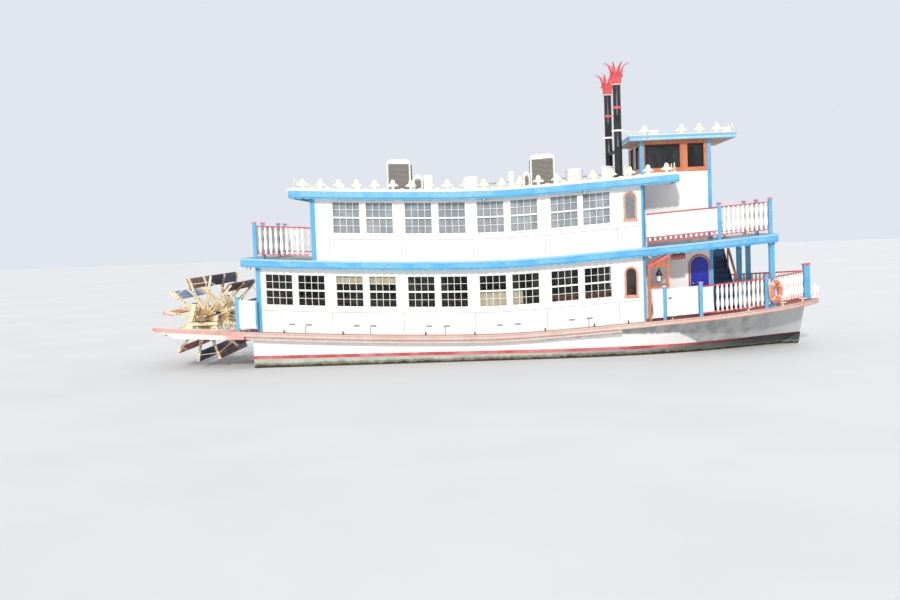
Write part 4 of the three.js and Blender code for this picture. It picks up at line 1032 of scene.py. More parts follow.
def fleur(levels=17):
    """One fleur in the XZ plane, its foot at the origin: a narrow stem, side lobes as a bell curve of the
    height that droop with the square of their reach, and a round head that ends in a point."""
    part = np.linspace(0, 1, levels)
    stem = np.where(part < 0.7, 0.2 + 0.12 * np.exp(-(part / 0.06) ** 2), 0)
    lobes = 0.84 * np.exp(-((part - 0.5) / 0.13) ** 2)
    head = 0.5 * np.sqrt(np.clip(1 - ((part - 0.76) / 0.24) ** 2, 0, 1)) * (1 - 0.3 * part)
    half = np.maximum(np.maximum(stem, stem * 0.8 + lobes), head)
    z = FLEUR_TALL * (part - 0.12 * half ** 2 * (part > 0.2))
    x = FLEUR_WIDE / 2 * half
    x, z = np.concatenate([x, -x[::-1]]), np.concatenate([z, z[::-1]])
    middle = 0.5 * FLEUR_TALL
    layers = []
    for scale, y in ((0.9, -0.5), (1.0, -0.25), (1.0, 0.25), (0.9, 0.5)):
        layers.append(np.stack([x * scale, 0 * x + y * FLEUR_THICK, middle + (z - middle) * scale], -1))
    return grid(np.array(layers), around=True)


def crest(lines, height, base, pitch=FLEUR_PITCH):
    """Fleurs along lines in plan, with a low strip between them that has a small bump at mid pitch."""
    one, made = fleur(), []
    for line in lines:
        steps = np.linalg.norm(np.diff(line, axis=0), axis=1)
        reach = np.concatenate([[0], np.cumsum(steps)])
        count = max(1, int(round(reach[-1] / pitch)))
        at = (np.arange(count) + 0.5) * reach[-1] / count
        x, y = np.interp(at, reach, line[:, 0]), np.interp(at, reach, line[:, 1])
        lean = 90.0 if abs(line[-1, 1] - line[0, 1]) > abs(line[-1, 0] - line[0, 0]) else 0.0
        made.append(copies(turned(one, "Z", lean), np.stack([x, y, base(x) + height], -1)))
        gap = reach[-1] / count

        def top(s, gap=gap):
            return height + 0.03 + 0.035 * np.clip(np.cos(2 * np.pi * s / gap), 0, 1) ** 3

        if base is sheer:
            made.append(strip(line, lambda s: 0 * s + height - 0.01, top, -0.016, 0.016, gap / 12))
    return merge(made)


roof_lines = deck_sides(-7.82, 5.14, lambda x: 2.99 + 0 * np.asarray(x, float))
roof_fleurs = crest(roof_lines, ROOF + 0.005, sheer)
put("roof_cresting", [(roof_fleurs, cresting_cream)], "white_paint", smooth=35)
print("cresting faces:", pieces["roof_cresting"])

# %% [markdown]
# ## Windows
# Each window is a pair of sashes of four by two panes, in a plain casing with a sill. The
# walls already have the openings. The casing, the sash frames and the sash bars are long blocks with
# rings at the knots of the sheer, so one table of window edges makes them all, and the same function
# lifts them. The arched windows have a bent frame of stained wood, swept round the arch.

# %% Sashes and casings
LOWER_WINDOWS = [-8.97, -7.85, -6.53, -5.39, -4.06, -2.93, -1.6, -0.48, 0.86, 1.99]
UPPER_WINDOWS = [-6.555, -5.415, -4.08, -2.93, -1.61, -0.465, 0.905, 2.0]
WINDOW = 0.93
WALL_Y = -2.75
CASING, BAR, STILE = 0.055, 0.016, 0.014
MEETING = 0.03


def window_rows(x, sill, head):
    """Rows of x0, x1, y0, y1, h0, h1 for the casing, the two sash frames and the bars of one window."""
    end, outer, face = x + WINDOW, WALL_Y - 0.018, WALL_Y + 0.001
    rows = [(x - CASING, x, outer, face, sill, head), (end, end + CASING, outer, face, sill, head),
            (x - CASING, end + CASING, outer - 0.006, face, head, head + CASING),
            (x - CASING - 0.02, end + CASING + 0.02, outer - 0.028, face, sill - 0.04, sill)]
    middle = (sill + head) / 2
    for low, high, y in ((sill, middle - MEETING / 2, WALL_Y + 0.026),
                         (middle + MEETING / 2, head, WALL_Y + 0.014)):
        y1 = y + 0.03
        rows += [(x + 0.001, x + STILE, y, y1, low, high), (end - STILE, end - 0.001, y, y1, low, high),
                 (x + STILE, end - STILE, y, y1, low, low + STILE),
                 (x + STILE, end - STILE, y, y1, high - STILE, high)]
        pane = (WINDOW - 2 * STILE) / 4
        for i in (1, 2, 3):
            at = x + STILE + pane * i
            rows.append((at - BAR / 2, at + BAR / 2, y + 0.004, y1 - 0.004, low + STILE, high - STILE))
        at = (low + high) / 2
        rows.append((x + STILE, end - STILE, y + 0.006, y1 - 0.006, at - BAR / 2, at + BAR / 2))
    return rows


def deck_windows(edges, sill, head):
    """All the windows of one deck, on both sides."""
    return both(laid(*[row for x in edges for row in window_rows(x, sill, head)]))


lower_sashes = deck_windows(LOWER_WINDOWS, 0.95, 2.01)
upper_sashes = deck_windows(UPPER_WINDOWS, 3.475, 4.55)
put("lower_window_sashes", [(lower_sashes, trim_white)], "white_paint", smooth=30)
put("upper_window_sashes", [(upper_sashes, trim_white)], "white_paint", smooth=30)
print("sash faces:", pieces["lower_window_sashes"], pieces["upper_window_sashes"])

# %% Arched windows
ARCHES = [(3.39, 3.78, 0.93, 1.89), (3.42, 3.79, 3.54, 4.44)]


def arch_outline(x0, x1, z0, z1, steps=20, grow=0.0):
    """Straight sides under a round head, as points (x, z), grown outwards by a width."""
    radius, middle = (x1 - x0) / 2 + grow, (x0 + x1) / 2
    turn = np.linspace(0, np.pi, steps + 1)
    head = np.stack([middle + radius * np.cos(turn), z1 - (x1 - x0) / 2 + radius * np.sin(turn)], -1)
    return np.vstack([[[x0 - grow, z0 - grow], [x1 + grow, z0 - grow]], head])


def arch_ring(outline_in, outline_out, y0, y1):
    """A flat frame between two outlines, as a closed ring of square section."""
    corners = [(outline_in, y0), (outline_out, y0), (outline_out, y1), (outline_in, y1)]
    ring = np.stack([np.column_stack([line[:, 0], np.full(len(line), y), line[:, 1]])
                     for line, y in corners], 1)
    return grid(ring, around=True, closed=True)


def arched(x0, x1, low, high, y, width=0.042, proud=0.022, deep=0.03):
    """The stained frame, the bars and the pane of an arched window."""
    base = deck_z((x0 + x1) / 2)
    z0, z1 = base + low, base + high
    frame_ring = arch_ring(arch_outline(x0, x1, z0, z1, grow=-0.012),
                           arch_outline(x0, x1, z0, z1, grow=width), y - proud, y + 0.001)
    lining = arch_ring(arch_outline(x0, x1, z0, z1, grow=-0.03),
                       arch_outline(x0, x1, z0, z1, grow=-0.002), y, y + deep)
    sill = bricks([[x0 - width - 0.02, x1 + width + 0.02, y - 0.055, y, z0 - width - 0.02,
                    z0 - width + 0.015]])
    pane = plate(arch_outline(x0, x1, z0, z1, grow=-0.01), y + 0.012, y + 0.02)
    return merge([frame_ring, lining, sill]), pane


made = [arched(*row, WALL_Y) for row in ARCHES]
arch_wood = wood("arch_frame_wood", rgb(196, 130, 104), rgb(230, 176, 150), "Z", 2.0, 0.45, 0.2)
put("arched_window_frames", [(both(merge([m[0] for m in made])), arch_wood)], "varnished_wood", smooth=35)
put("arched_window_panes", [(both(made[0][1]), lower_glass), (both(made[1][1]), upper_glass)], "window_glass")
print("arched windows:", len(ARCHES) * 2)

# %% [markdown]
# ## Behind the glass
# Blinds hang in the upper windows and half curtains in a few of the lower ones. To port the lower
# curtains are drawn, since no daylight shows through the saloon; they are dark, a painted shade for the
# saloon seen through the glass. A curtain is a grid of points whose depth follows two sine waves along its
# width, deeper towards the hem, so that it falls in folds. A cloth simulation would fold more freely, but
# these hang still behind glass. Tables and benches stand in the saloons and show as warm wood.

# %% Curtains and blinds
CURTAIN_Y = -2.66
CURTAIN_THICK = 0.004


def fold_wave(along, fold):
    """Two sine waves along a cloth, the slower one weaker."""
    return np.sin(2 * np.pi * along / fold) + 0.35 * np.sin(2 * np.pi * along / (fold * 2.7) + 1.3)


def curtain(x0, x1, low, high, fold, deep):
    """A hanging cloth: rows from hem to rail, folds deepest at the hem."""
    along, up = np.meshgrid(np.linspace(x0, x1, 57), np.linspace(0, 1, 9), indexing="ij")
    depth = CURTAIN_Y + deep * fold_wave(along, fold) * (1.15 - 0.6 * up)
    rise = low + (high - low) * up + 0.006 * np.cos(4 * np.pi * along / fold) * (1 - up)
    front = np.stack([along, depth, rise], -1)
    back = front + [0, CURTAIN_THICK, 0]
    ring = np.concatenate([front, back[:, ::-1]], 1)
    return grid(ring, around=True)


# Ends along the boat, hem, head, fold and depth of fold of each cloth.
SILL_CURTAINS = [(-1.62, -0.65, 0.97, 1.5, 0.075, 0.012), (-0.5, -0.12, 0.97, 1.5, 0.08, 0.012)]
HEAD_CURTAINS = [(-6.55, -5.58, 1.72, 2.03, 0.09, 0.01), (-5.41, -4.44, 1.72, 2.03, 0.09, 0.01)]
DRAWN = [(x - 0.02, x + WINDOW + 0.02, 0.96, 2.03, 0.09, 0.008) for x in LOWER_WINDOWS]
BLINDS = [(x - 0.02, x + WINDOW + 0.02, 3.51, 4.6, 0.045, 0.004) for x in UPPER_WINDOWS]


def hang(name, rows, material, way):
    """Hangs cloths of one length as a piece."""
    put(name, [(way(lifted(merge([curtain(*row) for row in rows]))), material)], "white_paint", smooth=60)
    for x0, x1, low, high, fold, deep in rows:
        along = np.linspace(x0, x1, 57)
        depth = 0.85 * deep * fold_wave(along, fold)


# The drawn curtains are dark: painted shade for the saloon behind the glass.
drawn_curtain_shade = cloth("drawn_curtain_painted_shade", rgb(66, 64, 46), rgb(44, 44, 34))
hang("sill_curtains", SILL_CURTAINS, curtain_cream, lambda shape: shape)
hang("head_curtains", HEAD_CURTAINS, curtain_cream, lambda shape: shape)
hang("drawn_curtains", DRAWN, drawn_curtain_shade, mirrored)
hang("saloon_blinds", BLINDS, curtain_grey, both)

# %% Tables and benches
TABLE_X = np.arange(-8.2, 3.0, 1.4)


def furniture(xs, deck_at):
    """Tables on pedestals with a bench on either side, in two rows."""
    rows = []
    for x in xs:
        for y in (-1.9, 1.2):
            top = deck_at + 0.76
            rows += [(x, x + 0.7, y, y + 0.7, top - 0.035, top),
                     (x + 0.31, x + 0.39, y + 0.31, y + 0.39, deck_at, top - 0.03),
                     (x + 0.15, x + 0.55, y + 0.15, y + 0.55, deck_at, deck_at + 0.03)]
            for seat in (x - 0.32, x + 0.72):
                back = seat if seat < x else seat + 0.26
                rows += [(seat, seat + 0.3, y, y + 0.7, deck_at + 0.4, deck_at + 0.45),
                         (back, back + 0.04, y, y + 0.7, deck_at + 0.45, deck_at + 0.9),
                         (seat + 0.02, seat + 0.06, y + 0.05, y + 0.65, deck_at, deck_at + 0.4),
                         (seat + 0.24, seat + 0.28, y + 0.05, y + 0.65, deck_at, deck_at + 0.4)]
    return rows


bar_counter = [(1.0, 3.6, -2.35, -1.95, 0.0, 1.08), (0.9, 3.7, -2.42, -1.88, 1.08, 1.13)]
lower_rows = furniture(TABLE_X[TABLE_X < 0.4], 0.0) + bar_counter
upper_rows = furniture(TABLE_X[TABLE_X > -6.5], UPPER)
put("saloon_furniture", [(laid(*lower_rows + upper_rows), table_wood)], "varnished_wood", smooth=30)
print("furniture faces:", pieces["saloon_furniture"])

# %% [markdown]
# ## Wall dressing
# The saloon corners are blue posts. A skirting board, a frieze under the deck above, and pairs of small
# vents with a few thin pipes break up the plain sheets. Each is a thin cover that stands just proud of
# the wall behind it, so the wall itself stays as it is. Small turned fillers stand on the side decks.

# %% Corner posts, skirtings and vents
COVER = 0.004
SALOON_ENDS = {"lower": (-9.3, 4.06, 0.0, UPPER - 0.235), "upper": (-7.32, 4.05, UPPER, ROOF - 0.27)}
post_rows, board_rows, vent_rows = [], [], []
for aft, fore, foot, head in SALOON_ENDS.values():
    for x0, x1 in ((aft - COVER, aft + 0.15 + COVER), (fore - 0.075, fore + COVER)):
        post_rows.append((x0, x1, WALL_Y - 0.025 - COVER, -2.6 + COVER, foot + 0.012, head + 0.1))
    board_rows += [(aft + 0.16, fore - 0.16, WALL_Y - 0.014, WALL_Y + 0.001, foot + 0.004, foot + 0.11),
                   (aft + 0.16, fore - 0.16, WALL_Y - 0.012, WALL_Y + 0.001, head - 0.05, head + 0.1)]
for x in (-8.11, -7.53, -5.88, -5.30, -3.38, -2.77, -0.95, -0.33, 1.53, 2.13):
    vent_rows += [(x - 0.1, x + 0.1, WALL_Y - 0.012, WALL_Y + 0.001, 0.268, 0.312),
                  (x - 0.108, x + 0.108, WALL_Y - 0.03, WALL_Y + 0.001, 0.312, 0.324)]
for x in (-7.65, -5.4, -2.83, 2.1):
    vent_rows.append((x - 0.013, x + 0.013, WALL_Y - 0.026, WALL_Y + 0.001, 0.006, 0.268))
filler = lathe([[0.034, 0.0], [0.034, 0.01], [0.02, 0.016], [0.02, 0.085], [0.026, 0.09], [0.026, 0.11],
                [0.01, 0.115]], sides=12)
filler_x = np.array([-8.38, -6.34, -3.5, -1.81, 0.59, 2.27, 3.43])
fillers = copies(filler, np.stack([filler_x, 0 * filler_x - 2.92, sheer(filler_x)], -1))
put("saloon_corner_posts", [(both(laid(*post_rows)), azure)], "blue_paint", smooth=30)
put("saloon_boards", [(both(laid(*board_rows)), trim_white)], "white_paint", smooth=30)
put("wall_vents", [(both(laid(*vent_rows)), machine_grey)], "white_paint", smooth=30)
put("deck_fillers", [(both(fillers), dark_metal)], "iron", smooth=40)
print("wall dressing:", len(post_rows), "posts a side")

# %% [markdown]
# ## Railings
# Both decks have white sawn balusters between red rails, and blue posts with red or white caps. A
# baluster is a turned profile of eight sides, its radius pinched at the neck, the waist and the foot.
# The same railing function serves every run: it takes plan points, puts rails between them, and sets
# the balusters at their pitch. Flat sawn boards would be truer for some of them, but at this size both
# give the same outline.

# %% Railing function
PITCH = 0.178
BALUSTER = np.array([[0.04, 0.0], [0.04, 0.05], [0.034, 0.1], [0.06, 0.2], [0.065, 0.32], [0.046, 0.46],
                     [0.036, 0.52], [0.042, 0.57], [0.057, 0.74], [0.053, 0.84], [0.036, 0.91],
                     [0.04, 0.95], [0.04, 1.0]])
RAIL_TOP = [(-0.04, 0.02), (-0.045, 0.035), (-0.03, 0.048), (0.03, 0.048), (0.045, 0.035), (0.04, 0.02),
            (0.03, 0.0), (-0.03, 0.0)]


def balusters(plan, low, top, pitch=PITCH, between=(), full=1.0):
    """Balusters along a line in plan, between two heights above the deck; between adds single ones, and
    full widens them all."""
    tall = top - low
    one = lathe(BALUSTER * [full, tall], sides=8)
    spots = []
    for (xa, ya), (xb, yb) in zip(plan[:-1], plan[1:]):
        count = max(1, int(round(math.hypot(xb - xa, yb - ya) / pitch)))
        part = (np.arange(1, count) / count)[:, None]
        spots.append(np.array([xa, ya]) * (1 - part) + np.array([xb, yb]) * part)
    spots = np.concatenate(spots + [np.array(between, float).reshape(-1, 2)])
    return copies(one, np.column_stack([spots, sheer(spots[:, 0]) + low]))


def rails(plan, low, top):
    """The two red rails over plan points: a rounded one on top and a square one below."""
    made = []
    for (xa, ya), (xb, yb) in zip(plan[:-1], plan[1:]):
        ends = np.array([[xa, ya, sheer(xa)], [xb, yb, sheer(xb)]], float)
        made += [sweep(ends + [0, 0, top - 0.022], RAIL_TOP), sweep(ends + [0, 0, low], square(0.06, 0.05))]
    return merge(made)


def solid_bay(a, b, low, high, thick=0.03, frame_wide=0.09):
    """A closed bay between two plan points: a sheet with a raised border on both faces."""
    ends = np.array([[*a, sheer(a[0])], [*b, sheer(b[0])]], float)
    unit = (ends[1] - ends[0]) / np.linalg.norm(ends[1] - ends[0])
    sheet = sweep(ends + [0, 0, (low + high) / 2], square(thick, high - low))
    raised = [sweep(ends + [0, 0, level], square(thick + 0.024, frame_wide)) for level in
              (low + frame_wide / 2, high - frame_wide / 2)]
    for end, sign in ((0, 1), (1, -1)):
        foot = ends[end] + unit * sign * frame_wide / 2
        span_z = [[0, 0, low + frame_wide], [0, 0, high - frame_wide]]
        raised.append(sweep(foot + span_z, square(thick + 0.024, frame_wide), up=np.cross(unit, [0, 0, 1])))
    return merge([sheet] + raised)


def square_posts(points, foot, top, half=0.06):
    """Square posts between two heights above the deck."""
    return laid(*[(x - half, x + half, y - half, y + half, foot, top) for x, y in points])


def caps(points, top, half=0.078):
    """A flat chamfered cap on each post, as a turned form of four sides."""
    flat = turned(lathe([[half * 1.2, 0], [half * 1.41, 0.012], [half * 1.41, 0.03], [half * 0.7, 0.055]],
                        sides=4), "Z", 45.0)
    spots = np.array([[x, y, deck_z(x) + top] for x, y in points])
    return copies(flat, spots)


print("baluster:", len(BALUSTER) - 1, "rings of 8 sides")

# %% Main deck railings
MAIN_LOW, MAIN_TOP = 0.11, 1.02
FORE_POSTS = [(5.9, -2.89), (8.3, -2.09)]
FORE_BAY = [(5.9, -2.89), (6.33, -2.81)]
FORE_RUN = [(6.33, -2.81), (7.3, -2.56), (8.3, -2.09), (8.57, -1.807), (10.11, -0.19)]
fore_rails = merge([rails(FORE_RUN, MAIN_LOW, MAIN_TOP), rails(FORE_BAY, MAIN_LOW, MAIN_TOP)])
fore_balusters = balusters(FORE_RUN, MAIN_LOW, MAIN_TOP, between=FORE_RUN[1:2])
fore_bay = solid_bay(*FORE_BAY, MAIN_LOW + 0.02, MAIN_TOP - 0.03)
fore_posts = square_posts(FORE_POSTS, CLEAR, MAIN_TOP + 0.12)
fore_caps = caps(FORE_POSTS, MAIN_TOP + 0.12)
put_sides("main_railing_{}", [(fore_rails, rail_red), (fore_balusters, rail_white),
                              (fore_bay, rail_white), (fore_posts, azure), (fore_caps, cap_pink)],
          "white_paint", replaces="main_rail_{}", smooth=35)

BOW_X = 10.25
bow_column = square_posts([(BOW_X, 0)], CLEAR, 1.235, 0.11)
bow_plinth = square_posts([(BOW_X, 0)], 0.001, 0.14, 0.125)
bow_cap = merge([square_posts([(BOW_X, 0)], 1.235, 1.275, 0.14),
                 square_posts([(BOW_X, 0)], 1.275, 1.3, 0.12)])
put("bow_column", [(merge([bow_column, bow_plinth]), azure), (bow_cap, cap_pink)], "blue_paint",
    replaces=["bow_post"], smooth=30, bevel=0.006)
print("main railing faces a side:", pieces["main_railing_stbd"])

# %% Upper deck railings
UP_LOW, UP_TOP = UPPER + 0.19, UPPER + 1.12
AFT_RUN = [(-7.41, -2.94), (-9.24, -2.94), (-9.24, -1.47), (-9.24, 1.47), (-9.24, 2.94), (-7.41, 2.94)]
AFT_RAIL_POSTS = AFT_RUN[1:5]
BOW_RUN = [(6.61, -2.7), (8.5, -2.01), (8.5, 0.0), (8.5, 2.01), (6.61, 2.7)]
SIGN = [(4.14, -2.94), (6.61, -2.7)]


def sign_bay(a, b):
    """The blank name board: a sheet, a moulded border, and a row of short blocks under it."""
    sheet = solid_bay(a, b, UP_LOW + 0.16, UP_TOP - 0.04, 0.03, 0.05)
    count = 14
    part = ((np.arange(count) + 0.5) / count)[:, None]
    spots = np.array(a) * (1 - part) + np.array(b) * part
    blocks = copies(bricks([[-0.03, 0.03, -0.015, 0.015, 0.02, 0.17]]),
                    np.column_stack([spots, sheer(spots[:, 0]) + UP_LOW]))
    return merge([sheet, blocks])


put("upper_railing_aft",
    [(rails(AFT_RUN, UP_LOW, UP_TOP), rail_red), (balusters(AFT_RUN, UP_LOW, UP_TOP), rail_white),
     (square_posts(AFT_RAIL_POSTS, UPPER + CLEAR, UP_TOP + 0.11), azure),
     (caps(AFT_RAIL_POSTS, UP_TOP + 0.11), cap_pink)],
    "white_paint", replaces=["upper_rail_aft"], smooth=35)
name_boards = both(sign_bay(*SIGN))
sign_rails = both(merge([rails(SIGN, UP_LOW, UP_TOP),
                         sweep([[*p, deck_z(p[0]) + UP_LOW + 0.14] for p in SIGN], square(0.05, 0.035))]))
put("upper_railing_fore",
    [(rails(BOW_RUN, UP_LOW, UP_TOP), rail_red), (sign_rails, rail_red),
     (balusters(BOW_RUN, UP_LOW, UP_TOP, full=1.22), rail_white), (name_boards, rail_white),
     (square_posts(BOW_RUN, UPPER + CLEAR, UP_TOP + 0.11), azure),
     (caps(BOW_RUN, UP_TOP + 0.11), cap_pink)],
    "white_paint", replaces=["upper_rail_fore"], smooth=35)

STERN_POST = [(-9.95, -2.95)]
stern_bay = solid_bay((-9.95, -2.95), (-9.31, -2.95), 0.15, 1.06)
stern_posts = square_posts(STERN_POST, CLEAR, 1.13)
put_sides("stern_bulwark_{}",
          [(stern_bay, rail_white), (merge([stern_posts, laid((-9.31, -9.26, -2.99, -2.91, 0.1, 1.1))]),
                                     azure), (caps(STERN_POST, 1.13, 0.07), azure),
           (rails([(-9.95, -2.95), (-9.31, -2.95)], 0.15, 1.06), rail_white)], "white_paint",
          replaces="aft_bulwark_{}", smooth=35)
print("upper railing faces:", pieces["upper_railing_aft"], pieces["upper_railing_fore"])

# %% [markdown]
# ## The entry
# On each side a passenger comes aboard under a red sloping hood carried by a stained portal. Beside it
# stands the gate, a white panel hung on a post. The pieces that replace a solid keep its outline. The
# gate gets its frame, straps and latch on its own body, so they swing with it. A lantern hangs from the
# portal's head, clear of the doors.

# %% Entry and gate
HOOD = np.array([[4.13, -2.8, 0.0], [4.99, -2.8, 0.0]])
hood_ends = HOOD + [[0, 0, deck_z(4.13) + 1.86], [0, 0, deck_z(4.99) + 2.29]]
hood_top = sweep(hood_ends, square(0.38, 0.06))
hood_batten = merge([sweep(hood_ends + [0, shift, 0.036], square(0.03, 0.02))
                     for shift in (-0.17, -0.06, 0.06, 0.17)])
hood_edge = sweep(hood_ends + [0, -0.195, -0.01], square(0.02, 0.09))
portal_rows = [(4.13, 4.21, -2.98, -2.88, CLEAR, 1.9), (4.75, 4.83, -2.98, -2.88, 1.12, 2.18),
               (4.13, 4.83, -2.975, -2.885, 1.12, 1.18), (4.1, 4.86, -2.99, -2.87, 1.18, 1.205),
               (4.21, 4.75, -2.95, -2.91, 1.83, 1.95)]
entry_panel = solid_bay((4.26, -2.93), (4.66, -2.93), 0.15, 1.04)
entry_rail = rails([(4.2, -2.93), (4.66, -2.93)], 0.13, 1.05)
entry_post = square_posts([(4.66, -2.93)], CLEAR, 1.13, 0.052)
portal_wood = wood("portal_wood", rgb(176, 86, 48), rgb(218, 126, 76), "Z", 2.0, 0.38, 0.35)
# The header is stained wood like the portal, made darker as painted shade under the upper deck.
shaded_header_wood = wood("shaded_header_wood", rgb(112, 50, 34), rgb(150, 74, 50), "X", 2.0, 0.45, 0.2)
hood_coral = paint("hood_coral_paint", rgb(224, 88, 82), rgb(236, 136, 126), 0.6, 0.2, 0.1, 2.0, 0.45,
                   dirt=rgb(130, 64, 58))
put_sides("entry_portal_{}", [(laid(*portal_rows), portal_wood), (hood_top, hood_coral),
                              (hood_batten, hood_coral), (hood_edge, hood_coral),
                              (entry_panel, rail_white), (entry_rail, rail_white), (entry_post, azure),
                              (caps([(4.66, -2.93)], 1.13, 0.066), trim_white)], "varnished_wood",
          replaces="entry_{}", smooth=30)

GATE_LOW, GATE_TOP = 0.12, 1.06
gate_panel = laid((4.74, 5.8, -2.95, -2.91, GATE_LOW, GATE_TOP))
gate_frame = laid((4.74, 4.84, -2.962, -2.908, GATE_LOW, GATE_TOP),
                  (5.7, 5.8, -2.962, -2.908, GATE_LOW, GATE_TOP),
                  (4.84, 5.7, -2.962, -2.908, GATE_LOW, GATE_LOW + 0.1),
                  (4.84, 5.7, -2.962, -2.908, GATE_TOP - 0.1, GATE_TOP))
gate_straps = laid(*[(5.5, 5.795, -2.97, -2.96, level, level + 0.04) for level in (0.26, 0.86)])
gate_latch = laid((4.78, 4.9, -2.975, -2.96, 0.72, 0.76))
put_sides("gate_leaf_{}", [(gate_panel, rail_white), (merge([gate_frame, gate_straps]), trim_white),
                           (gate_latch, dark_metal)], "white_paint", body="gate_{}_body",
          replaces="gate_{}", smooth=30, bevel=0.003)
print("entries and gates made")

# %% Lantern and header boards
LANTERN_X, LANTERN_Y = 4.505, -2.9
lantern_base = deck_z(LANTERN_X) + 1.3
LANTERN_AT = (LANTERN_X, LANTERN_Y, lantern_base)
lantern_foot = [[0.02, 0.0], [0.07, 0.01], [0.088, 0.02], [0.088, 0.032], [0.03, 0.036]]
cage = merge([lathe(lantern_foot, LANTERN_AT, 6),
              lathe([[0.05, 0.232], [0.112, 0.236], [0.124, 0.25], [0.09, 0.31], [0.082, 0.35],
                     [0.045, 0.41], [0.018, 0.43], [0.028, 0.455], [0.008, 0.48]], LANTERN_AT, 6)])
lamp = lathe([[0.03, 0.037], [0.07, 0.038], [0.08, 0.226], [0.05, 0.231]], LANTERN_AT, 6)
lamp_bars = merge([beam((LANTERN_X + 0.078 * c, LANTERN_Y + 0.078 * s, lantern_base + 0.03),
                        (LANTERN_X + 0.09 * c, LANTERN_Y + 0.09 * s, lantern_base + 0.237), 0.01, 0.01)
                   for c, s in zip(np.cos(np.arange(6) * np.pi / 3), np.sin(np.arange(6) * np.pi / 3))])
lantern_hook = bricks([[LANTERN_X - 0.006, LANTERN_X + 0.006, LANTERN_Y - 0.02, LANTERN_Y + 0.02,
                        lantern_base + 0.46, lantern_base + 0.54]])
header = laid((4.93, 5.42, -2.86, -2.82, 2.02, 2.3))
milk = paint("lantern_milk_glass", rgb(246, 244, 232), rgb(236, 226, 196), 0.5, 0.2, 0.1, 5.0, 0.2)
put("wall_lanterns", [(both(merge([cage, lamp_bars, lantern_hook])), dark_metal), (both(lamp), milk)],
    "iron", smooth=30)
put("passage_headers", [(both(header), shaded_header_wood)], "varnished_wood", smooth=30, bevel=0.004)
print("lantern at", round(lantern_base, 3), "m")

# %% [markdown]
# ## Doors
# The saloon doors and the arched deckhouse doors are royal blue in stained frames. Each door is its own
# body with a hinge, so what lies on the leaf (the rails round the light, the pane, the handle, the
# hinges) rides the leaf, and the frame round it stays with the boat.

# %% Saloon doors
DOORS = [("lower_fore_door", 4.0, -2.14, 0.0, 1), ("upper_aft_door", -7.32, 0.0, UPPER, -1),
         ("upper_fore_door", 3.99, -2.14, UPPER, 1)]
LEAF_THICK, LEAF_HALF = 0.045, 0.38
# Left, right, bottom and top of each board and bead, from the middle of the leaf's foot.
DOOR_BOARDS = [(-0.34, -0.22, 0.06, 1.9), (0.22, 0.34, 0.06, 1.9), (-0.22, 0.22, 0.06, 0.2),
               (-0.22, 0.22, 0.96, 1.08), (-0.22, 0.22, 1.72, 1.9), (-0.13, 0.13, 0.3, 0.86)]
DOOR_BEADS = [(-0.22, -0.19, 1.08, 1.72), (0.19, 0.22, 1.08, 1.72), (-0.19, 0.19, 1.08, 1.11),
              (-0.19, 0.19, 1.69, 1.72)]
KNOB = [[0.026, 0.0], [0.026, 0.006], [0.01, 0.012], [0.01, 0.03], [0.024, 0.04]]
HINGE = [[0.007, 0], [0.007, 0.1]]


def barrels(x, y, z, heights):
    """Hinge barrels on one upright axis."""
    return merge([lathe(HINGE, (x, y, z + up), 10) for up in heights])


def saloon_door(name, wall, y, foot, out):
    """Raised panels, a pane, a handle and hinges on a leaf; out is the side that faces the open deck."""
    z = deck_z(wall) + foot + 0.06
    face = wall + 0.0075 + (LEAF_THICK if out > 0 else 0.0)
    back, front = sorted([face, face + out * 0.008])
    boards_made = bricks([[back, front, y + a, y + b, z + c, z + d] for a, b, c, d in DOOR_BOARDS])
    beads = bricks([[back, front, y + a, y + b, z + c, z + d] for a, b, c, d in DOOR_BEADS])
    pane = bricks([[wall + 0.024, wall + 0.034, y - 0.205, y + 0.205, z + 1.095, z + 1.705]])
    hinges = barrels(face, y + LEAF_HALF, z, (0.2, 0.95, 1.65))
    knob = lathe(KNOB + [[0.026, 0.052], [0.012, 0.062]], sides=14, axis="X")
    if out < 0:
        knob = turned(knob, "Z", 180.0)
    knob = moved(knob, [face, y - 0.31, z + 1.0])
    return [(boards_made, royal), (beads, trim_white), (pane, lower_glass), (merge([hinges, knob]), brass)]


def door_casing(wall, y, foot, out):
    """The stained casing on the wall round a saloon door."""
    z = deck_z(wall) + foot + 0.052
    face = wall + (0.06 if out > 0 else 0.0)
    back, front = sorted([face - out * 0.001, face + out * 0.018])
    half, head = LEAF_HALF + 0.008, z + 1.966
    return bricks([[back, front, y - half - 0.07, y - half, z, head],
                   [back, front, y + half, y + half + 0.07, z, head],
                   [back, front, y - half - 0.09, y + half + 0.09, head, head + 0.08]])


for name, wall, y, foot, out in DOORS:
    put(name + "_fittings", saloon_door(name, wall, y, foot, out), "door_blue", body=name + "_body",
        smooth=30)
casings = merge([door_casing(wall, y, foot, out) for name, wall, y, foot, out in DOORS])
put("saloon_door_casings", [(casings, varnish)], "varnished_wood", smooth=30, bevel=0.003)
print("saloon doors:", len(DOORS))

# %% Arched deckhouse doors
DOOR_X = (5.81, 6.43)
door_sill = deck_z(6.1) + 0.07
TOWER_Y = -1.6


def door_arch(inset, low, high, grow):
    """The arch of a door, inset from its edges and grown again by a width."""
    return arch_outline(DOOR_X[0] + inset, DOOR_X[1] - inset, door_sill + low, door_sill + high, 24, grow)


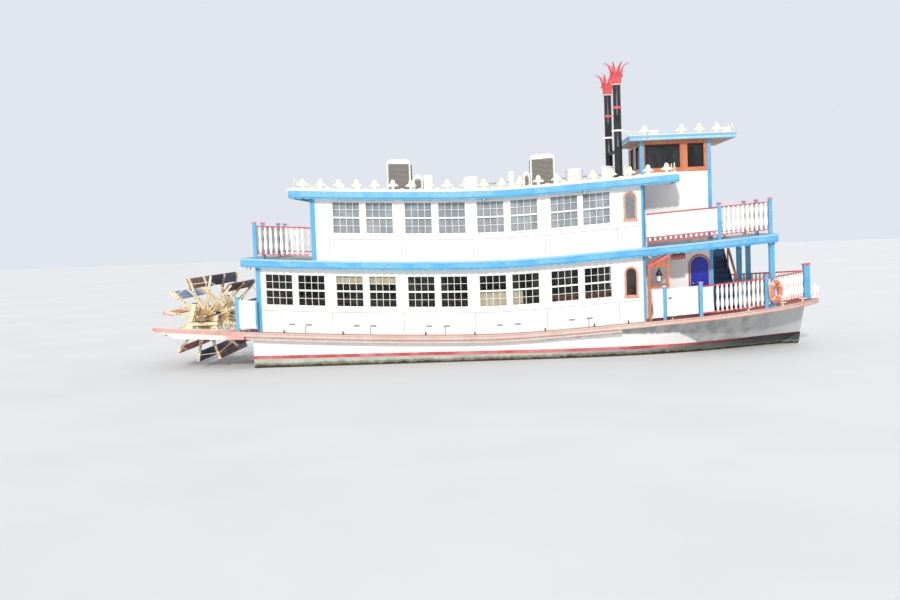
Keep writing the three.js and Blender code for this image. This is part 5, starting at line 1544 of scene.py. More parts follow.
outer_arch = arch_ring(door_arch(0, 0, 1.93, 0.02), door_arch(0, 0, 1.93, 0.085), TOWER_Y - 0.012,
                       TOWER_Y + 0.001)
inner_band = arch_ring(door_arch(0.11, 0.12, 1.82, -0.03), door_arch(0.11, 0.12, 1.82, 0.0),
                       TOWER_Y - 0.004, TOWER_Y + 0.006)
mid_rail = bricks([[DOOR_X[0] + 0.12, DOOR_X[1] - 0.12, TOWER_Y - 0.003, TOWER_Y + 0.006,
                    door_sill + 0.86, door_sill + 0.95]])
arch_hinges = barrels(DOOR_X[1], TOWER_Y + 0.005, door_sill, (0.2, 1.0))
arch_knob = lathe(KNOB + [[0.026, 0.05], [0.012, 0.058]], sides=14, axis="Y")
arch_knob = moved(turned(arch_knob, "Z", 180.0), [DOOR_X[0] + 0.07, TOWER_Y + 0.005, door_sill + 0.98])
put_sides("deckhouse_door_{}_fittings",
          [(merge([inner_band, mid_rail]), royal), (merge([arch_hinges, arch_knob]), brass)], "door_blue",
          body="deckhouse_door_{}_body", smooth=30)
put("deckhouse_door_frames", [(both(outer_arch), varnish)], "varnished_wood", smooth=35)
print("arched doors: sill at", round(door_sill, 3), "m")

# %% [markdown]
# ## The tower and the pilothouse
# The pilothouse stands on the tower: white sheets below, stained window frames and a stained band
# under them, blue corner posts, and a level roof with its own cresting. The frames are covers a few
# millimetres proud of the walls. The wheel inside is a swept rim with eight turned spokes that end in
# handles.

# %% Pilothouse covers
TOWER_AFT, TOWER_FORE = 4.14, 6.59
SILL_Z, HEAD_Z, WALL_TOP_Z, FLOOR_Z = 6.42, 7.285, 7.395, 5.48
SIDE_LIGHTS = [(4.3, 5.54), (5.77, 6.36)]
BAND_LOW, BAND_HIGH = 6.31, 6.45

tower_posts = [(x - COVER, x + 0.12 + COVER, TOWER_Y - 0.02 - COVER, TOWER_Y + 0.1, UPPER + 0.01)
               for x in (TOWER_AFT, 6.47)]
post_blocks = []
for x0, x1, y0, y1, low in tower_posts:
    base = deck_z((x0 + x1) / 2) + low
    post_blocks.append([x0, x1, y0, y1, base + 0.02, WALL_TOP_Z - 0.002])
lower_post = laid((6.49 - COVER, 6.59 + COVER, TOWER_Y - COVER - 0.012, TOWER_Y + 0.05, 0.012, UPPER - 0.24))

side_rows = [[4.26, 6.47, TOWER_Y - 0.03, TOWER_Y + 0.002, BAND_LOW, BAND_HIGH],
             [4.264, 6.466, TOWER_Y - 0.012, TOWER_Y + 0.002, HEAD_Z - 0.001, WALL_TOP_Z - 0.002]]
for x0, x1 in ((4.264, 4.3), (5.54, 5.77), (6.36, 6.466)):
    side_rows.append([x0, x1, TOWER_Y - 0.014, TOWER_Y + 0.002, BAND_HIGH, HEAD_Z])
for x0, x1 in SIDE_LIGHTS:
    for a, b in ((x0, x0 + 0.018), (x1 - 0.018, x1)):
        side_rows.append([a, b, TOWER_Y + 0.005, TOWER_Y + 0.045, SILL_Z + 0.001, HEAD_Z - 0.001])
    for a, b in ((SILL_Z + 0.001, SILL_Z + 0.02), (HEAD_Z - 0.02, HEAD_Z - 0.001)):
        side_rows.append([x0 + 0.018, x1 - 0.018, TOWER_Y + 0.005, TOWER_Y + 0.045, a, b])

end_rows = []
INSIDE = 1.4997
for x, out, count in ((TOWER_AFT, -1, 2), (TOWER_FORE, 1, 3)):
    back, front = sorted([x, x + out * 0.014])
    end_rows += [[back, front, -INSIDE, INSIDE, BAND_LOW, BAND_HIGH],
                 [back, front, -INSIDE, INSIDE, HEAD_Z, WALL_TOP_Z - 0.002]]
    step = 2 * (INSIDE - 0.06) / count
    edges = [-INSIDE + 0.06 + step * i for i in range(count + 1)]
    for i, y in enumerate(edges):
        left = -INSIDE if i == 0 else y - 0.05
        right = INSIDE if i == count else y + 0.05
        end_rows.append([back, front, left, right, BAND_HIGH, HEAD_Z])
pilot_wood = wood("pilothouse_frame_wood", rgb(184, 96, 54), rgb(226, 142, 90), "Z", 1.6, 0.34, 0.4, 0.15)
pilot_wood_level = wood("pilothouse_band_wood", rgb(188, 100, 56), rgb(226, 144, 92), "X", 1.6, 0.36, 0.3,
                        0.15)
put("pilothouse_frames",
    [(both(bricks(side_rows[1:])), pilot_wood), (both(bricks(side_rows[:1])), pilot_wood_level),
     (bricks(end_rows), pilot_wood)], "varnished_wood", smooth=30, bevel=0.003)
put("tower_corner_posts", [(both(bricks(post_blocks)), azure), (both(lower_post), azure)], "blue_paint",
    smooth=30)
print("pilothouse frame rows:", len(side_rows), "a side and", len(end_rows), "at the ends")

# %% Pilothouse roof edge and cresting
CAP_X, CAP_HALF, CAP_LOW, CAP_TOP = (3.77, 7.41), 1.9, 7.3953, 7.565


def level_ring(x0, x1, half, z):
    """A level rectangle as a closed path: forward along starboard, then round."""
    return np.array([[x0, -half, z], [x1, -half, z], [x1, half, z], [x0, half, z]], float)


cap_crown = sweep(level_ring(*CAP_X, CAP_HALF, CAP_TOP), CROWN, closed=True)
cap_bead = sweep(level_ring(*CAP_X, CAP_HALF, CAP_LOW + 0.02), BEAD, closed=True)
cap_lines = [np.array([[7.35, -1.84], [7.35, 1.84]])]
SIDE_FLEURS = np.array([[x, -1.84, CAP_TOP + 0.005] for x in (4.29, 5.56, 6.17, 6.78)])
cap_crest = merge([crest(cap_lines, CAP_TOP + 0.005, lambda x: 0 * np.asarray(x, float)),
                   both(copies(fleur(), SIDE_FLEURS))])
kerb = sweep(level_ring(3.83, 7.35, 1.84, CAP_TOP + 0.018), square(0.032, 0.04), closed=True)
LIGHT_BOXES = [(4.41, 4.76), (7.0, 7.27)]
box_rows = [[x0, x1, -1.76, -1.6, CAP_TOP, CAP_TOP + 0.19] for x0, x1 in LIGHT_BOXES]
sky_blue = paint("pilothouse_edge_paint", rgb(134, 186, 216), rgb(168, 204, 224), 0.6, 0.15, 0.12, 1.4,
                 0.36, dirt=rgb(90, 124, 150))
put("pilothouse_roof_trim", [(merge([cap_crown, cap_bead]), sky_blue)], "blue_paint", smooth=30)
put("pilothouse_cresting", [(cap_crest, cresting_cream), (kerb, cresting_cream),
                            (bricks(box_rows), trim_white)], "white_paint", smooth=35)
print("pilothouse cresting faces:", pieces["pilothouse_cresting"])

# %% The helm
HELM = np.array([6.06, 0.0, 6.35])
HELM_R = 0.36
around = 2 * np.pi * np.arange(48) / 48
rim_path = np.stack([0 * around, HELM_R * np.cos(around), HELM_R * np.sin(around)], -1) + HELM
rim = sweep(rim_path, square(0.045, 0.036), up=(1, 0, 0), closed=True)
spoke_shape = lathe([[0.016, 0.05], [0.02, 0.12], [0.013, 0.2], [0.02, 0.29], [0.016, 0.335],
                     [0.012, 0.38], [0.02, 0.4], [0.021, 0.43]], sides=10)
spokes = merge([moved(turned(spoke_shape, "X", 45.0 * i), HELM) for i in range(8)])
nave = lathe([[0.03, -0.05], [0.07, -0.035], [0.075, 0.03], [0.05, 0.05], [0.035, 0.06], [0.035, 0.12]],
             HELM, 24, "X")
console = bricks([[6.17, 6.32, -0.45, 0.45, FLOOR_Z, 6.38], [6.13, 6.34, -0.47, 0.47, 6.38, 6.41]])
cabin_floor = bricks([[4.2003, 6.5297, -INSIDE, INSIDE, FLOOR_Z - 0.06, FLOOR_Z]])
dials = merge([lathe([[0.05, -0.012], [0.055, 0.0], [0.045, 0.004]], (6.23, y, 6.414), 20)
               for y in (-0.3, -0.1, 0.1, 0.3)])
put("helm_station", [(merge([rim, spokes, nave]), varnish), (console, pilot_wood),
                     (cabin_floor, pilot_wood_level), (dials, brass)], "varnished_wood",
    replaces=["helm_deck"], smooth=35)
print("helm faces:", pieces["helm_station"])

# %% [markdown]
# ## The stairs
# A steep flight climbs to port ahead of the tower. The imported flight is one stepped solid; here it is
# two stringers, treads with noses, thin risers, and the stained handrail on its posts.

# %% Flight of stairs
STAIR_X, FOOT_Y, HEAD_Y, STEPS = (6.66, 7.48), -1.56, 1.5, 12
stair_base = deck_z(STAIR_X[1]) + HAIR
climb = deck_z(STAIR_X[0]) + UPPER - stair_base - 0.04
tread_run, tread_rise = (HEAD_Y - FOOT_Y) / STEPS, climb / STEPS
step_number = np.arange(STEPS)
tread_y, tread_z = FOOT_Y + tread_run * step_number, stair_base + tread_rise * (step_number + 1)
tread = bricks([[STAIR_X[0] + 0.03, STAIR_X[1] - 0.03, -0.025, tread_run + 0.012, -0.04, 0.0]])
riser = bricks([[STAIR_X[0] + 0.03, STAIR_X[1] - 0.03, 0.0, 0.018, -tread_rise, -0.035]])
steps_at = np.stack([0 * tread_y, tread_y, tread_z], -1)
stringer_line = [[FOOT_Y, stair_base], [FOOT_Y, stair_base + tread_rise],
                 [HEAD_Y - tread_run, stair_base + climb], [HEAD_Y, stair_base + climb],
                 [HEAD_Y, stair_base + climb - 0.38], [FOOT_Y + 1.6 * tread_run, stair_base]]
stringers = merge([plate(stringer_line, x, x + 0.03, "YZ") for x in (STAIR_X[0], STAIR_X[1] - 0.03)])
rail_foot = np.array([STAIR_X[1] - 0.05, FOOT_Y + 0.12, stair_base + tread_rise + 0.85])
rail_head = np.array([STAIR_X[1] - 0.05, HEAD_Y - 0.12, stair_base + climb + 0.85])
stair_rail = sweep([rail_foot, rail_head], RAIL_TOP)
newels = []
for part in (0.0, 0.5, 0.96):
    top = rail_foot * (1 - part) + rail_head * part
    tread_at = stair_base + tread_rise * (math.floor((top[1] - FOOT_Y) / tread_run) + 1)
    newels.append([top[0] - 0.025, top[0] + 0.025, top[1] - 0.025, top[1] + 0.025, tread_at - 0.02,
                   top[2] + 0.01])
put("stair_flight", [(merge([copies(tread, steps_at), copies(riser, steps_at)]), navy), (stringers, navy),
                     (merge([stair_rail, bricks(newels)]), varnish_level)], "stair_blue",
    replaces=["stairs"], smooth=30)
print("stairs:", STEPS, "treads of", round(tread_rise, 3), "m")

# %% [markdown]
# ## Chimneys
# Each chimney is a rolled steel stack with a red band, a white clamp that takes the stays, and a crown.
# The crown is a cup turned from one profile, and eight leaves that rise from it and curl outwards,
# with eight smaller ones inside them. A leaf is a strip whose width falls along its length while its
# path leans out by a power of the height; the last part is thin and dark.

# %% Stack
STACK = np.array([3.4, -1.5])
STACK_R, STACK_TOP = 0.135, 9.43
roof_at = deck_z(STACK[0]) + ROOF
stack_at = np.array([*STACK, 0.0])
seams = np.array([[0, roof_at + 0.03], [0, 7.2], [0.006, 7.21], [0.006, 7.25], [0, 7.26], [0, 8.3],
                  [0.006, 8.31], [0.006, 8.35], [0, 8.36], [0, STACK_TOP]])
shaft = lathe(seams + [STACK_R, 0], stack_at, 40)
collar = lathe([[STACK_R, roof_at + 0.04], [0.2, roof_at + 0.05], [0.19, roof_at + 0.08],
                [0.15, roof_at + 0.16], [STACK_R, roof_at + 0.17]], stack_at, 32)
foot_plate = laid((3.17, 3.63, -1.73, -1.27, ROOF + HAIR, ROOF + 0.05))
red_band = lathe([[STACK_R, 8.555], [0.15, 8.56], [0.155, 8.6], [0.15, 8.64], [STACK_R, 8.645]], stack_at, 40)
clamp = lathe([[STACK_R, 7.77], [0.15, 7.775], [0.15, 7.835], [STACK_R, 7.84]], stack_at, 40)
clamp_ears = bricks([[STACK[0] + side, STACK[0] + side + 0.07, STACK[1] - 0.015, STACK[1] + 0.015, 7.775,
                      7.835] for side in (0.14, -0.21)])
print("stack from", round(roof_at, 2), "to", STACK_TOP, "m")

# %% Crown
cup_profile = np.array([[0.14, -0.025], [0.158, -0.02], [0.155, 0.0], [0.165, 0.09], [0.185, 0.22],
                        [0.25, 0.318], [0.242, 0.322], [0.16, 0.235], [0.12, 0.2]])
cup = lathe(cup_profile + [0, STACK_TOP - 0.02], stack_at, 40)
lip = lathe([[0.14, -0.03], [0.168, -0.028], [0.172, 0.01], [0.15, 0.016]],
            stack_at + [0, 0, STACK_TOP - 0.02], 40)


def leaf(start_part, end_part, rows, base_wide, tip_wide, thick):
    """A strip up the crown: it leans out by a power of its height, and its width falls to the tip."""
    s = np.linspace(start_part, end_part, rows)
    reach = 0.155 + 0.305 * s ** 1.9
    droop = 0.05 * np.clip(s - 0.86, 0, 1) * 8 * (s - 0.86)
    rise = 0.04 + 0.66 * np.sin(np.pi / 2 * np.minimum(s, 1.0) ** 0.92) - droop
    lean_r, lean_z = np.gradient(reach), np.gradient(rise)
    size = np.hypot(lean_r, lean_z)
    wide = tip_wide + (base_wide - tip_wide) * np.clip(1 - s, 0, 1) ** 0.85
    ring = []
    for across, depth in ((-1, -1), (1, -1), (1, 1), (-1, 1)):
        ring.append(np.stack([reach + depth * thick / 2 * lean_z / size, across * wide / 2,
                              rise - depth * thick / 2 * lean_r / size], -1))
    return grid(np.stack(ring, 1), around=True)


petal, curl = leaf(0.0, 0.92, 12, 0.125, 0.008, 0.016), leaf(0.9, 1.03, 4, 0.014, 0.006, 0.01)


def ring_of(shape, count=8, first=22.5):
    """Copies of a shape about the chimney's axis."""
    return merge([moved(turned(shape, "Z", first + 360.0 * i / count), [*STACK, STACK_TOP])
                  for i in range(count)])


inner_petals = ring_of(changed(petal, lambda p: p * [0.74, 0.8, 0.6]), 8, 0.0)
brace = lathe([[0.035, 0.0], [0.035, 1.475], [0.07, 1.4755], [0.07, 1.4998]], (*STACK, 7.16), 16, "Y")
stays = merge([rod((3.58, -1.5, 7.8), (3.95, -1.5, 7.6), 0.008, 6),
               rod((3.58, -1.5, 7.8), (4.7, -1.72, 7.6), 0.008, 6)])
put_sides("chimney_stack_{}", [(merge([shaft, collar, foot_plate, brace]), stack_black),
                               (red_band, coral), (merge([clamp, clamp_ears]), trim_white),
                               (merge([cup, ring_of(petal), inner_petals]), coral), (lip, ring_pale),
                               (ring_of(curl), dark_metal), (stays, trim_white)], "stack_black",
          replaces="chimney_{}", smooth=40)
print("chimney faces:", pieces["chimney_stack_stbd"])

# %% [markdown]
# ## Machinery on the roof
# Two condensers stand on kerbs, each with a smaller one beside it. They have white frames, grey louvres
# and stepped caps, and three drums are piped to the fore one. The louvres are real blades, tilted, in
# front of a plain core, because their shadows are what makes a condenser look like one. A bump would
# be lighter but flat at the edge.

# %% Condenser parts
LOUVRE_PITCH = 0.045
SLAT = [[-0.004, 0.0], [0.016, -0.026], [0.02, -0.022], [0.0, 0.004]]


def louvres(x0, x1, half, low, high):
    """Tilted blades on the four sides of a unit."""
    levels = np.arange(low + 0.03, high - 0.02, LOUVRE_PITCH)
    side = sweep([[x0 + 0.04, -half, 0], [x1 - 0.04, -half, 0]], SLAT)
    end = sweep([[x1, -half + 0.04, 0], [x1, half - 0.04, 0]], SLAT)
    back = turned(end, "Z", 180.0, [(x0 + x1) / 2, 0, 0])
    stack_up = np.column_stack([np.zeros((len(levels), 2)), levels])
    blades = copies(merge([side, mirrored(side), end, back]), stack_up)
    return moved(blades, [0, 0, deck_z((x0 + x1) / 2)])


def unit(x0, x1, half, low, high):
    """The core, the frame, the louvres and the cap of one condenser."""
    core = runs([(x0 + 0.03, x1 - 0.03, -half + 0.03, half - 0.03, low, high - 0.02)])
    posts = [(x, x + 0.065, y, y + 0.065, low + 0.065, high - 0.065) for x in (x0, x1 - 0.065)
             for y in (-half, half - 0.065)]
    edges = [(x0, x1, -half, half, low, low + 0.065), (x0, x1, -half, half, high - 0.065, high)]
    cap = runs([(x0 + 0.06, x1 - 0.06, -half + 0.06, half - 0.06, high, high + 0.07),
                (x0 + 0.14, x1 - 0.14, -half + 0.14, half - 0.14, high + 0.07, high + 0.105)])
    fins = louvres(x0, x1, half - 0.004, low + 0.05, high - 0.06)
    return lifted(core), laid(*posts + edges), lifted(cap), fins


print("louvres", LOUVRE_PITCH, "m apart")

# %% Condensers and drums
DRUMS = [(-1.79, 0.255, 0.6), (1.955, 0.31, 0.62), (3.155, 0.232, 0.6)]
UNITS = {"aft": [(-4.84, -3.98, 0.43, 1.125), (-3.9, -3.56, 0.28, 0.575)],
         "fore": [(0.35, 1.23, 0.43, 1.125), (0.09, 0.34, 0.28, 0.575)]}
slat_grey = paint("louvre_grey_paint", rgb(150, 146, 140), rgb(164, 160, 154), 0.5, 0.25, 0.2, 3.0, 0.5,
                  metallic=0.1)
for end, rows in UNITS.items():
    made = [unit(x0, x1, half, ROOF + 0.06, ROOF + top) for x0, x1, half, top in rows]
    first, last = min(r[0] for r in rows), max(r[1] for r in rows)
    kerb_made = laid((first - 0.04, last + 0.04, -0.33, 0.33, ROOF + HAIR, ROOF + 0.07))
    parts_made = [(merge([m[0] for m in made]), slat_grey),
                  (merge([m[1] for m in made] + [kerb_made]), trim_white),
                  (merge([m[2] for m in made]), trim_white), (merge([m[3] for m in made]), slat_grey)]
    if end == "fore":
        middle = (rows[0][0] + rows[0][1]) / 2
        tanks, pipes, feet_rows = [], [], []
        for x, radius, tall in DRUMS:
            base = deck_z(x) + ROOF
            tanks.append(lathe([[radius - 0.01, 0.04], [radius, 0.06], [radius, tall - 0.09],
                                [radius + 0.012, tall - 0.08], [radius + 0.012, tall - 0.05],
                                [radius * 0.9, tall - 0.02], [radius * 0.3, tall]], (x, 0, base), 32))
            feet_rows.append((x - radius, x + radius, -radius, radius, ROOF + HAIR, ROOF + 0.06))
            pipes.append(rod((x, 0, base + 0.3), (middle, 0, deck_z(middle) + ROOF + 0.3), 0.03, 10))
        parts_made += [(merge(tanks + [laid(*feet_rows)]), trim_white), (merge(pipes), machine_grey)]
    put("roof_machinery_" + end, parts_made, "machine_grey", replaces=["roof_units_" + end], smooth=35)
print("roof machinery faces:", pieces["roof_machinery_aft"], pieces["roof_machinery_fore"])

# %% Vents and lights under the eaves
def round_vent(x, y, radius, tall):
    """A straight round vent with a low domed lid."""
    return lathe([[radius + 0.02, 0.0], [radius + 0.02, 0.03], [radius, 0.04], [radius, tall - 0.09],
                  [radius + 0.01, tall - 0.085], [radius + 0.01, tall - 0.03],
                  [radius * 0.7, tall - 0.008], [radius * 0.2, tall]], (x, y, deck_z(x) + ROOF), 24)


AIR_BOX = (-3.52, -3.22, -0.32, -0.02)
air_box = laid((*AIR_BOX, ROOF + HAIR, ROOF + 0.6),
               (AIR_BOX[0] - 0.012, AIR_BOX[1] + 0.012, -0.332, -0.008, ROOF + 0.56, ROOF + 0.62),
               (AIR_BOX[0] + 0.03, AIR_BOX[1] - 0.03, -0.29, -0.05, ROOF + 0.62, ROOF + 0.66))
round_vents = merge([round_vent(-0.35, -0.9, 0.11, 0.66), round_vent(3.72, -0.9, 0.075, 0.5)])
put("roof_vents", [(merge([round_vents, air_box]), trim_white)], "white_paint", smooth=40, bevel=0.004)


def floodlight(x, y, height):
    """A small lamp on a bracket under a fascia."""
    return (laid((x - 0.07, x + 0.07, y - 0.05, y + 0.05, height - 0.11, height - 0.01),
                 (x - 0.015, x + 0.015, y - 0.015, y + 0.1, height - 0.01, height + 0.12)),
            laid((x - 0.055, x + 0.055, y - 0.055, y - 0.049, height - 0.1, height - 0.02)))


lamps = [floodlight(x, y, height)
         for x, y, height in ((-1.33, -2.9, ROOF - 0.28), (2.07, -2.9, ROOF - 0.28),
                              (4.2, -2.9, UPPER - 0.25), (-9.5, -2.9, UPPER - 0.25))]
put("eave_lights", [(both(merge([m[0] for m in lamps])), dark_metal),
                    (both(merge([m[1] for m in lamps])), milk)], "iron", smooth=30)
print("lights:", len(lamps) * 2)

# %% [markdown]
# ## The paddlewheel
# Three rings of timber arms meet plywood hub discs, and the boards lie across them in whatever paint was
# left over, the navy and maroon ones darker as painted shade. All of it rides the wheel's own body. The place
# of every timber follows from its angle, so one arm is made flat and turned twelve times. Each board is two
# planks, bolted at every ring.

# %% Wheel timbers
WHEEL = np.array([-11.33, 0.0, 1.745])
WHEEL_R, WHEEL_HALF, ARMS, PHASE = 1.52, 2.06, 12, 19.0
HUB_R, ARM_WIDE, ARM_THICK = 0.4, 0.085, 0.06
ANGLES = PHASE + 30.0 * np.arange(ARMS)
RINGS_Y = (-WHEEL_HALF, 0, WHEEL_HALF)


def radial(shape, degrees):
    """A shape made along +X from the wheel's middle, turned to an angle that grows from bow to up."""
    return moved(turned(shape, "Y", -degrees), WHEEL)


def on_wheel(radius, degrees):
    """A point (x, y, z) at a radius and an angle from a level arm."""
    return np.array([radius * math.cos(math.radians(degrees)), 0.0, radius * math.sin(math.radians(degrees))])


arm = bricks([[0.86, WHEEL_R, -ARM_THICK / 2, ARM_THICK / 2, -ARM_WIDE / 2, ARM_WIDE / 2]])
legs = merge([beam(on_wheel(HUB_R - 0.06, lean * 1.3), on_wheel(0.94, lean * 0.15), ARM_THICK - 0.012,
                   ARM_WIDE - 0.03, up=(0, 1, 0)) for lean in (-9, 9)])
bolt = lathe([[0.022, -0.008], [0.022, 0.0], [0.014, 0.014]], sides=8)
arm_bolts = merge([moved(turned(bolt, "X", 90.0 * -side), [at, side * ARM_THICK / 2, 0])
                   for at in (0.9, 1.0) for side in (-1, 1)])
one_frame = merge([arm, legs])
arm_set = merge([moved(radial(one_frame, degrees), [0, y, 0]) for degrees in ANGLES for y in RINGS_Y])
bolt_set = merge([moved(radial(arm_bolts, degrees), [0, y, 0]) for degrees in ANGLES for y in RINGS_Y])
hub_profile = [[0.1, -0.025], [HUB_R - 0.004, -0.025], [HUB_R, -0.02], [HUB_R, 0.02],
               [HUB_R - 0.004, 0.025], [0.1, 0.025]]
hubs = merge([lathe(hub_profile, WHEEL + [0, y, 0], 12, "Y") for y in RINGS_Y])
flange_profile = [[0.08, -0.06], [0.1, -0.055], [0.11, -0.04], [0.2, -0.036], [0.205, -0.03],
                  [0.205, 0.03], [0.2, 0.036], [0.11, 0.04], [0.1, 0.055], [0.08, 0.06]]
flanges = merge([lathe(flange_profile, WHEEL + [0, y, 0], 32, "Y") for y in RINGS_Y])
axle = lathe([[0.06, -2.57], [0.075, -2.555], [0.075, 2.555], [0.06, 2.57]], WHEEL, 32, "Y")
hub_iron = paint("hub_iron_paint", rgb(150, 122, 92), rgb(178, 150, 116), 0.8, 0.5, 0.2, 5.0, 0.55,
                 metallic=0.2, dirt=rgb(96, 66, 44))
put("wheel_arms", [(arm_set, timber), (hubs, plywood), (merge([flanges, axle]), hub_iron),
                   (bolt_set, dark_metal)], "wheel_timber", body="paddlewheel", replaces=["wheel_frames"],
    smooth=30)
print("wheel arm faces:", pieces["wheel_arms"])

# %% Wheel boards
BOARD_TALL, BOARD_THICK, BOARD_HALF, SPLIT = 0.38, 0.036, 2.105, 0.003
# Navy and maroon boards are the blue and the red darkened as painted shade.
BOARD_COLOURS = ["navy", "maroon", "navy", "brown", "blue", "salmon", "brown", "red", "navy", "maroon",
                 "navy", "maroon"]
lift = ARM_WIDE / 2 + HAIR


def planks(y0, y1):
    """The two planks of one board between two distances across the wheel."""
    inner, outer = WHEEL_R - BOARD_TALL, WHEEL_R
    middle = (inner + outer) / 2
    return bricks([[inner, middle - SPLIT, y0, y1, lift, lift + BOARD_THICK],
                   [middle + SPLIT, outer, y0, y1, lift, lift + BOARD_THICK]])


board_parts = []
for degrees, colour in zip(ANGLES, BOARD_COLOURS):
    if colour == "blue":
        board_parts.append((radial(planks(-1.45, 1.45), degrees), board_paint["blue"]))
        ends = merge([planks(-BOARD_HALF, -1.45), planks(1.45, BOARD_HALF)])
        board_parts.append((radial(ends, degrees), timber))
    else:
        board_parts.append((radial(planks(-BOARD_HALF, BOARD_HALF), degrees), board_paint[colour]))
board_bolt = moved(bolt, [0, 0, lift + BOARD_THICK])
bolt_spots = [[r, y, 0] for r in (1.22, 1.42) for y in RINGS_Y]
board_bolts = merge([radial(copies(board_bolt, bolt_spots), degrees) for degrees in ANGLES])
ring_rods = []
for degrees in ANGLES:
    for y in (-2.1, 2.1):
        ends = [on_wheel(1.3, degrees + lead) + WHEEL + [0, y, 0] for lead in (2, 32)]
        ring_rods.append(rod(*ends, 0.01))
put("wheel_boards", board_parts + [(board_bolts, dark_metal), (merge(ring_rods), cresting_cream)],
    "float_paint", body="paddlewheel", replaces=["wheel_floats"], smooth=30)
print("wheel board faces:", pieces["wheel_boards"])

# %% Bearings
BEARING_Y = -2.48
# The black strips and post tops are painted shade on the edges of the cream bearing timbers.
edge_rows = [[-11.745, -10.755, BEARING_Y - 0.07, BEARING_Y + 0.07, low, high]
             for low, high in ((1.655, 1.672), (1.52, 1.535))]
plummer = lathe([[0.08, -0.066], [0.15, -0.066], [0.155, -0.06], [0.155, 0.06], [0.15, 0.066], [0.08, 0.066]],
                WHEEL + [0, BEARING_Y, 0.0], 28, "Y")
strap_rows = [[-11.5, -11.16, BEARING_Y - 0.068, BEARING_Y + 0.068, 1.655, 1.70]]
pitman = merge([rod((-11.2, BEARING_Y - 0.1, 1.79), (-10.66, BEARING_Y - 0.1, 1.97), 0.022, 10),
                bricks([[-10.78, -10.62, BEARING_Y - 0.13, BEARING_Y - 0.06, 1.93, 2.0]])])
post_tops = bricks([[-11.62, -11.46, BEARING_Y - 0.08, BEARING_Y + 0.08, 2.31, 2.335],
                    [-10.85, -10.69, BEARING_Y - 0.08, BEARING_Y + 0.08, 1.99, 2.015]])
put("bearing_fittings", [(both(bricks(edge_rows)), shaded_edge_black), (both(plummer), hub_iron),
                         (both(merge([bricks(strap_rows), pitman])), dark_metal),
                         (both(post_tops), shaded_edge_black)], "iron", smooth=35)
print("bearings at", BEARING_Y, "m")

# %% [markdown]
# ## Running gear
# The screws and rudders that drive and steer the boat lie under water. A blade is a grid over radius and
# the turn round its section: the section is a thin ellipse whose chord swells at mid blade, and it is
# twisted by the angle whose tangent is the pitch over the circumference at that radius.

# %% Propellers
BLADE_R, SCREW_PITCH = 0.27, 0.34
screw_axis = (SCREW_FORE - SCREW_AFT) / np.linalg.norm(SCREW_FORE - SCREW_AFT)
tilt_up = math.degrees(math.atan2(screw_axis[2], screw_axis[0]))


def blade():
    """One blade standing on +Z about the X axis."""
    part, turn = np.linspace(0, 1, 12)[:, None], 2 * np.pi * np.arange(16)[None] / 16
    radius = 0.045 + (BLADE_R - 0.045) * part
    chord = 0.07 + 0.1 * np.sin(np.pi * part ** 0.8) * (1 - 0.25 * part)
    thick = 0.016 * (1 - 0.75 * part)
    along, depth = chord * np.cos(turn) / 1.2, thick * np.sin(turn) / 1.6
    twist = np.arctan2(SCREW_PITCH, 2 * np.pi * radius)
    return grid(np.stack([along * np.sin(twist) + depth * np.cos(twist), along * np.cos(twist) - depth
                          * np.sin(twist), radius + 0 * turn], -1), around=True)


screw = merge([turned(blade(), "X", 90.0 * i) for i in range(4)]
              + [lathe([[0.02, -0.075], [0.045, -0.06], [0.062, -0.02], [0.062, 0.08], [0.045, 0.1],
                        [0.03, 0.105]], sides=24, axis="X")])
screw = moved(turned(screw, "Y", -tilt_up), SCREW_AFT)
screw_shaft = rod(screw_line(-0.015), screw_line(0.97), 0.03, 20)
put_sides("screw_{}", [(screw, bronze), (screw_shaft, bronze)], "bronze", body="propeller_{}_body",
          replaces="propeller_{}", smooth=40, sides=("port", "stbd"))
print("screw faces:", pieces["screw_port"])

# %% [markdown]
# ## Life ring, star and deck fittings
# The ring is a torus with four paler bands and a grab line. The star at the bow is a flat board whose
# outline is a polar curve of five points. Cleats are a turned foot under a tapered horn.

# %% Life ring
RING, RING_R, RING_TUBE, RING_YAW = np.array([8.626, -2.056, 2.04]), 0.31, 0.085, 0.81
ring_along = np.array([math.cos(RING_YAW), math.sin(RING_YAW), 0.0])
ring_out = np.array([-math.sin(RING_YAW), math.cos(RING_YAW), 0.0])


def tube(radius, tube_radius, first, last, steps, sides, closed):
    """A round ring, or the part of one between two angles, about the life ring's axis."""
    turn = first + (last - first) * np.arange(steps) / (steps if closed else steps - 1)
    around_tube = 2 * np.pi * np.arange(sides) / sides
    spoke = np.cos(turn)[:, None] * ring_along + np.sin(turn)[:, None] * np.array([0, 0, 1.0])
    out = radius + tube_radius * np.cos(around_tube)
    off = tube_radius * np.sin(around_tube)
    points = spoke[:, None] * out[None, :, None] + off[None, :, None] * ring_out
    return grid(points + RING, around=True, closed=closed)


ring_body = tube(RING_R, RING_TUBE, 0, 2 * np.pi, 72, 24, True)
bands = merge([tube(RING_R, RING_TUBE + 0.003, a - 0.14, a + 0.14, 9, 24, False) for a in np.pi / 4
               + np.pi / 2 * np.arange(4)])
grab = merge([tube(RING_R + RING_TUBE + 0.012, 0.008, a + 0.15, a + np.pi / 2 - 0.15, 17, 8, False)
              for a in np.pi / 4 + np.pi / 2 * np.arange(4)])
put("life_ring_cover", [(ring_body, orange), (bands, ring_pale), (grab, rail_white)], "life_orange",
    replaces=["life_ring"], smooth=50)
print("life ring faces:", pieces["life_ring_cover"])

